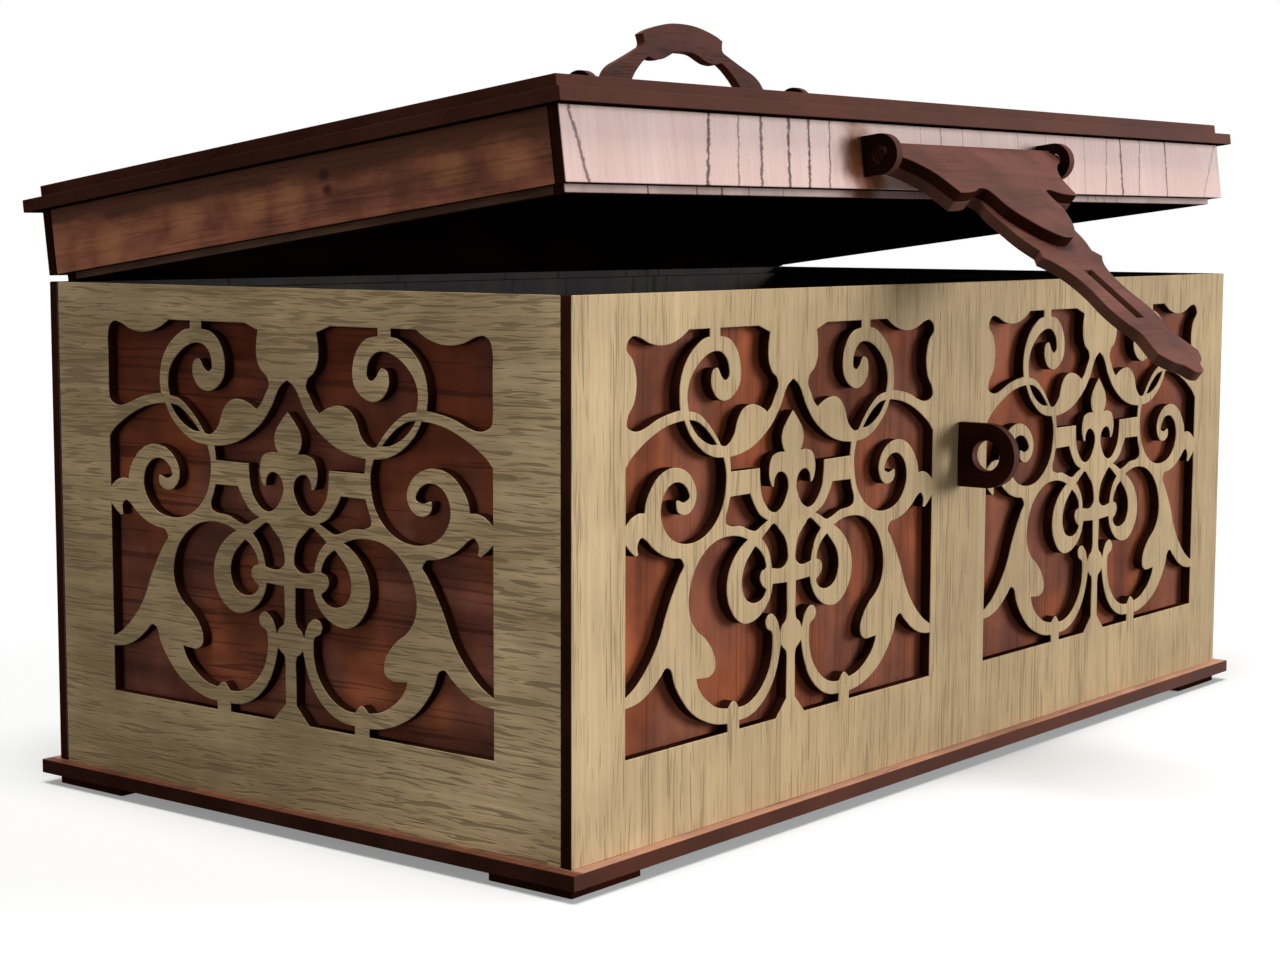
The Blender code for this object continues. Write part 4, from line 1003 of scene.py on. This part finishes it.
def make_walls():
    """The oak walls with their scroll windows, and the closed cherry liners behind them. All are
    dark on the inside, as painted shade. A wall's outline has its origin at the middle of its foot."""
    pitch = LONG_WINDOW_WIDTH + LONG_WALL_MIDDLE
    foot = (0, WALL_HEIGHT / 2)
    long_wall = [board_outline(BOX_WIDTH, WALL_HEIGHT) + foot]
    for middle in (-pitch / 2, pitch / 2):
        long_wall += window_loops(middle, LONG_WINDOW_WIDTH, LONG_WALL_EDGE_SHARES)
    short_wall = [board_outline(SHORT_WALL_LENGTH, WALL_HEIGHT) + foot]
    short_wall += window_loops(0, SHORT_WINDOW_WIDTH, SHORT_WALL_EDGE_SHARES)
    height = WALL_HEIGHT - LINER_DROP
    long_liner = [board_outline(INNER_WIDTH, height)]
    short_liner = [board_outline(SHORT_LINER_LENGTH, height)]
    for kind, inset, z, slot, long_loops, short_loops in (
            ("fret_panel", PANEL_INSET, WALL_BOTTOM, "oak", long_wall, short_wall),
            ("liner", LINER_INSET, WALL_BOTTOM + height / 2, "cherry", long_liner, short_liner)):
        for side in ("front", "back"):
            wall(f"{side}_{kind}", "box", side, long_loops, inset, z,
                 (slot + "_upright", "paint_inside"), slot)
        for side in ("left", "right"):
            wall(f"{side}_{kind}", "box", side, short_loops, inset, z,
                 (slot + "_level", "paint_inside_end"), slot)


def make_staple():
    centre = (-STAPLE_RADIUS, 0)
    root = [(-GLUE_GAP, -STAPLE_RADIUS), (-GLUE_GAP, STAPLE_RADIUS)]
    loops = [nose_plate(root, centre, STAPLE_RADIUS), ring(centre, STAPLE_HOLE_RADIUS)]
    cut_sheet("staple", loops, "box", (0, 0, STAPLE_Z), FACING_SIDE,
              ("shade_staple", "shade_staple", "stained_edge"))


def make_hinges():
    """Two hinges: two leaves on the box with one on the lid between them, and a dowel. The heel of
    the lid's leaf lands on the back wall when the lid is fully open."""
    hole = ring((0, 0), HINGE_PIN_RADIUS + RUN_GAP)
    root_y = -HINGE_OUT + GLUE_GAP
    stop = -HINGE_OUT + RUN_GAP
    heel = [swing((stop, -drop), -LID_OPEN_ANGLE) for drop in (HEEL_DROP, HEEL_DROP + HEEL_FLAT)]
    lid_root = [(root_y, HINGE_LEAF_NEAR), (root_y, HINGE_LEAF_FAR)]
    box_root = [(y, -z) for y, z in lid_root]
    lid_leaf = [nose_plate(lid_root + heel, (0, 0), HINGE_EYE_RADIUS), hole]
    box_leaf = [nose_plate(box_root, (0, 0), HINGE_EYE_RADIUS), hole]
    step = SHEET + RUN_GAP
    for name, side in SIDES:
        x = side * (BOX_WIDTH / 2 - HINGE_INSET)
        for leaf_name, offset in (("outer", side * step), ("inner", -side * step)):
            cut_sheet(f"{name}_hinge_leaf_{leaf_name}", box_leaf, "box",
                      (x + offset, HINGE_Y, HINGE_Z), FACING_SIDE,
                      ("shade_box", "shade_box", "stained_edge"))
        cut_sheet(f"{name}_hinge_lid_leaf", lid_leaf, "lid", (x, 0, 0), FACING_SIDE,
                  ("shade_lid", "shade_lid", "stained_edge"))
        cut_sheet(f"{name}_hinge_pin", [ring((0, 0), HINGE_PIN_RADIUS)], "box",
                  (x, HINGE_Y, HINGE_Z), FACING_SIDE, ("dowel", "dowel", "dowel"), "pin_wood",
                  thickness=2 * step + SHEET + 2 * HINGE_PIN_PROUD, soft=2 * SOFT_EDGE)


def make_lid():
    """The lid's panels, lips and top plates."""
    painted, plain = ("paint_lid", "inside_lid"), ("lid_side", "lid_side")
    lip, side_lip = ("paint_lip", "inside_lid"), ("lip_side", "inside_lid")
    for side, kind, width, hang, faces in (
            ("front", "panel", BOX_WIDTH, 0, painted), ("back", "panel", BOX_WIDTH, 0, painted),
            ("front", "lip", INNER_WIDTH, LIP_HANG, lip),
            ("back", "lip", INNER_WIDTH, BACK_LIP_HANG, lip),
            ("left", "panel", SHORT_WALL_LENGTH, 0, plain),
            ("left", "lip", SHORT_LINER_LENGTH, LIP_HANG, side_lip),
            ("right", "panel", SHORT_WALL_LENGTH, 0, plain),
            ("right", "lip", SHORT_LINER_LENGTH, LIP_HANG, side_lip)):
        height = LID_HEIGHT + hang
        wall(f"lid_{side}_{kind}", "lid", side, [board_outline(width, height)],
             LINER_INSET if kind == "lip" else PANEL_INSET, LID_PANEL_TOP - height / 2, faces,
             "dark_wood" if faces == plain else "crackled_paint")
    plate_z = LID_PANEL_TOP + GLUE_GAP + SHEET / 2 - HINGE_Z
    for name, size, z, back in (("frame", PLATE_SIZE, plate_z, "inside_lid"),
                                ("top", (BOX_WIDTH, BOX_DEPTH), plate_z + LAYER, "stain_top")):
        board(f"lid_{name}_plate", size, "lid", (0, BOX_DEPTH / 2 - HINGE_Y, z), FACING_UP,
              ("stain_top", back, "stained_edge", "stained_edge", "side_edge"), glue=GLUE_GAP)


def make_brackets():
    """The plates on the lid that the hasp and the handle turn in."""
    root_y = HASP_OUT - GLUE_GAP
    root_z = GLUE_GAP - HANDLE_AXIS_UP
    hasp_root = [(root_y, -HASP_BRACKET_RADIUS), (root_y, HASP_BRACKET_RADIUS)]
    handle_root = [(-HANDLE_BRACKET_RADIUS, root_z), (HANDLE_BRACKET_RADIUS, root_z)]
    for name, side in SIDES:
        for body, half_span, root, radius in (
                ("hasp", HASP_HALF_WIDTH, hasp_root, HASP_BRACKET_RADIUS),
                ("handle", HANDLE_HALF_SPAN, handle_root, HANDLE_BRACKET_RADIUS)):
            axis = BODIES["lid"].inverted() @ BODIES[body].to_translation()
            cut_sheet(f"{body}_bracket_{name}",
                      [nose_plate(root, (0, 0), radius), ring((0, 0), PEG_HOLE_RADIUS)], "lid",
                      (side * (half_span + RUN_GAP + SHEET / 2), axis.y, axis.z), FACING_SIDE,
                      ("shade_bracket", "shade_bracket", "stained_edge"))


def tongue(top, shoulder_reach, shares):
    """A hasp's layer: its half's top points, and its shares from the shoulder down."""
    shoulder = [(100, 100 * HASP_SHOULDER / shoulder_reach, CORNER)]
    side = open_outline(shoulder + shares, HASP_HALF_WIDTH / 100, -shoulder_reach / 100)
    return both_halves(np.vstack([top, side]))


def square_peg(root):
    """The corners of a peg that stands out to the right of a root, from its lower side up."""
    tip, half = root + PEG_SIDE, PEG_SIDE / 2
    return [(root, -half), (tip, -half), (tip, half), (root, half)]


def make_hasp():
    """The winged cover on the axis of its pegs, and the long slotted arm glued behind it."""
    cover_top = [(0, HASP_TOP), (HASP_HALF_WIDTH, HASP_TOP), *square_peg(HASP_HALF_WIDTH)[::-1]]
    cut_sheet("hasp_cover", [tongue(cover_top, COVER_REACH, COVER_SHARES)], "hasp", (0, 0, 0),
              FACING_FRONT, ("stain_hasp", "stain_hasp", "burnt_edge"), glue=GLUE_GAP)
    arm_back = LAYER + SHEET / 2
    arm_top = math.sqrt((HASP_OUT - RUN_GAP) ** 2 - arm_back ** 2)
    arm = tongue([(0, arm_top), (HASP_HALF_WIDTH, arm_top)], ARM_REACH, ARM_SHARES)
    x, y = SHEET / 2 + SLOT_SIDE_GAP, STAPLE_RADIUS + SLOT_END_GAP
    slot = np.array([(-x, -y), (x, -y), (x, y), (-x, y)]) - (0, SLOT_CENTRE)
    cut_sheet("hasp_arm", [arm, slot], "hasp", (0, LAYER, 0), FACING_FRONT,
              ("stain_hasp", "stain_hasp", "hasp_edge"))


def make_handle():
    """The arch behind the axis of its pegs, and on each of its feet a cheek. A cheek has a round
    inner end and a square peg at its outer end."""
    finishes = ("stain_handle", "stain_handle", "stained_edge")
    arch = both_halves(open_outline(ARCH_SHARES, ARCH_HALF_SPAN / 100, HANDLE_RISE / 100))
    cut_sheet("handle_arch", [arch - (0, HANDLE_AXIS_UP)], "handle", (0, LAYER, 0), FACING_FRONT,
              finishes)
    bend = np.linspace(QUARTER_TURN, 3 * QUARTER_TURN, ROUND_STEPS // 2)
    bend_x = HANDLE_HALF_SPAN - CHEEK_LENGTH + CHEEK_HALF_HEIGHT
    outer_end = [(HANDLE_HALF_SPAN, -CHEEK_HALF_HEIGHT), *square_peg(HANDLE_HALF_SPAN),
                 (HANDLE_HALF_SPAN, CHEEK_HALF_HEIGHT)]
    cheek = np.vstack([arc((bend_x, 0), CHEEK_HALF_HEIGHT, bend), outer_end])
    for name, outline in (("left", mirrored(cheek)), ("right", cheek)):
        cut_sheet(f"handle_cheek_{name}", [outline], "handle", (0, 0, 0), FACING_FRONT, finishes)


make_base()
make_walls()
make_staple()
make_hinges()
make_lid()
make_brackets()
make_hasp()
make_handle()


# The studio

FLOOR_REACH = 6.0
SKY_STRENGTH = 0.1


def seen_directly(tree):
    """One for camera, glossy and transmission rays, and zero for light that is only passed on."""
    path = tree.put("LightPath", {})
    through = tree.larger(path["Is Glossy Ray"], path["Is Transmission Ray"])
    return tree.larger(path["Is Camera Ray"], through)


def either(tree, mask, one, other):
    """One look where the mask is zero and the other where it is one."""
    return tree.put("MixShader", {0: mask, 1: one[0], 2: other[0]})


def bare_tree(holder):
    """The tree of a material or a world, with its first nodes taken out."""
    holder.use_nodes = True
    holder.node_tree.nodes.clear()
    return Tree(holder.node_tree)


def make_floor():
    """A wide floor that is seen white and holds a soft shadow, but passes on less light."""
    finish = bpy.data.materials.new("studio_white")
    tree = bare_tree(finish)
    bounce = tree.put("BsdfDiffuse", {"Color": (*FLOOR_BOUNCE, 1)})
    matt = tree.put("BsdfDiffuse", {"Color": (*FLOOR_SEEN, 1)})
    glow = tree.put("Emission", {"Color": (*FLOOR_SEEN, 1), "Strength": 1.0})
    shown = either(tree, FLOOR_GLOW, matt, glow)
    mixed = either(tree, seen_directly(tree), bounce, shown)
    tree.put("OutputMaterial", {"Surface": mixed[0]})
    mesh = bpy.data.meshes.new("studio_floor")
    corners = [(-1, -1), (1, -1), (1, 1), (-1, 1)]
    mesh.from_pydata([(FLOOR_REACH * x, FLOOR_REACH * y, 0) for x, y in corners], [],
                     [(0, 1, 2, 3)])
    mesh.materials.append(finish)
    new_object("studio_floor", mesh)


def make_world():
    """A plain pale sky, seen as white by the camera and in reflections."""
    world = bpy.context.scene.world = bpy.data.worlds.new("studio_sky")
    tree = bare_tree(world)
    lit, white = (tree.put("Background", {"Color": (1, 1, 1, 1), "Strength": strength})
                  for strength in (SKY_STRENGTH, 1.0))
    mixed = either(tree, seen_directly(tree), lit, white)
    tree.put("OutputWorld", {"Surface": mixed[0]})


def make_sun(name, towards, spread, energy):
    """Even light from a wide patch of sky, as from a large soft box far away."""
    lamp = bpy.data.lights.new(name, "SUN")
    lamp.angle = math.radians(spread)
    lamp.energy = energy
    holder = new_object(name, lamp)
    holder.location = towards
    holder.rotation_euler = Vector(towards).to_track_quat("Z", "Y").to_euler()


def make_camera():
    """A camera at the photograph's place. It looks along its yaw and dips, and is rolled last."""
    camera = new_object("camera", bpy.data.cameras.new("camera"))
    camera.data.sensor_width = CAMERA_SENSOR
    camera.data.lens = CAMERA_LENS
    stand = Matrix.Translation(CAMERA_PLACE)
    for angle, axis in ((CAMERA_YAW - QUARTER_TURN, "Z"), (QUARTER_TURN - CAMERA_DIP, "X"),
                        (CAMERA_ROLL, "Z")):
        stand = stand @ Matrix.Rotation(angle, 4, axis)
    camera.matrix_world = stand
    bpy.context.scene.camera = camera


make_floor()
make_world()
make_sun("key_sun", towards=(0.7, -0.7, 0.12), spread=28, energy=2.85)
make_sun("top_sun", towards=(-0.15, -0.13, 1), spread=30, energy=2.75)
make_sun("left_sun", towards=(-1, 0, 0.25), spread=40, energy=0.35)
make_camera()
bpy.context.scene.view_settings.view_transform = "Standard"
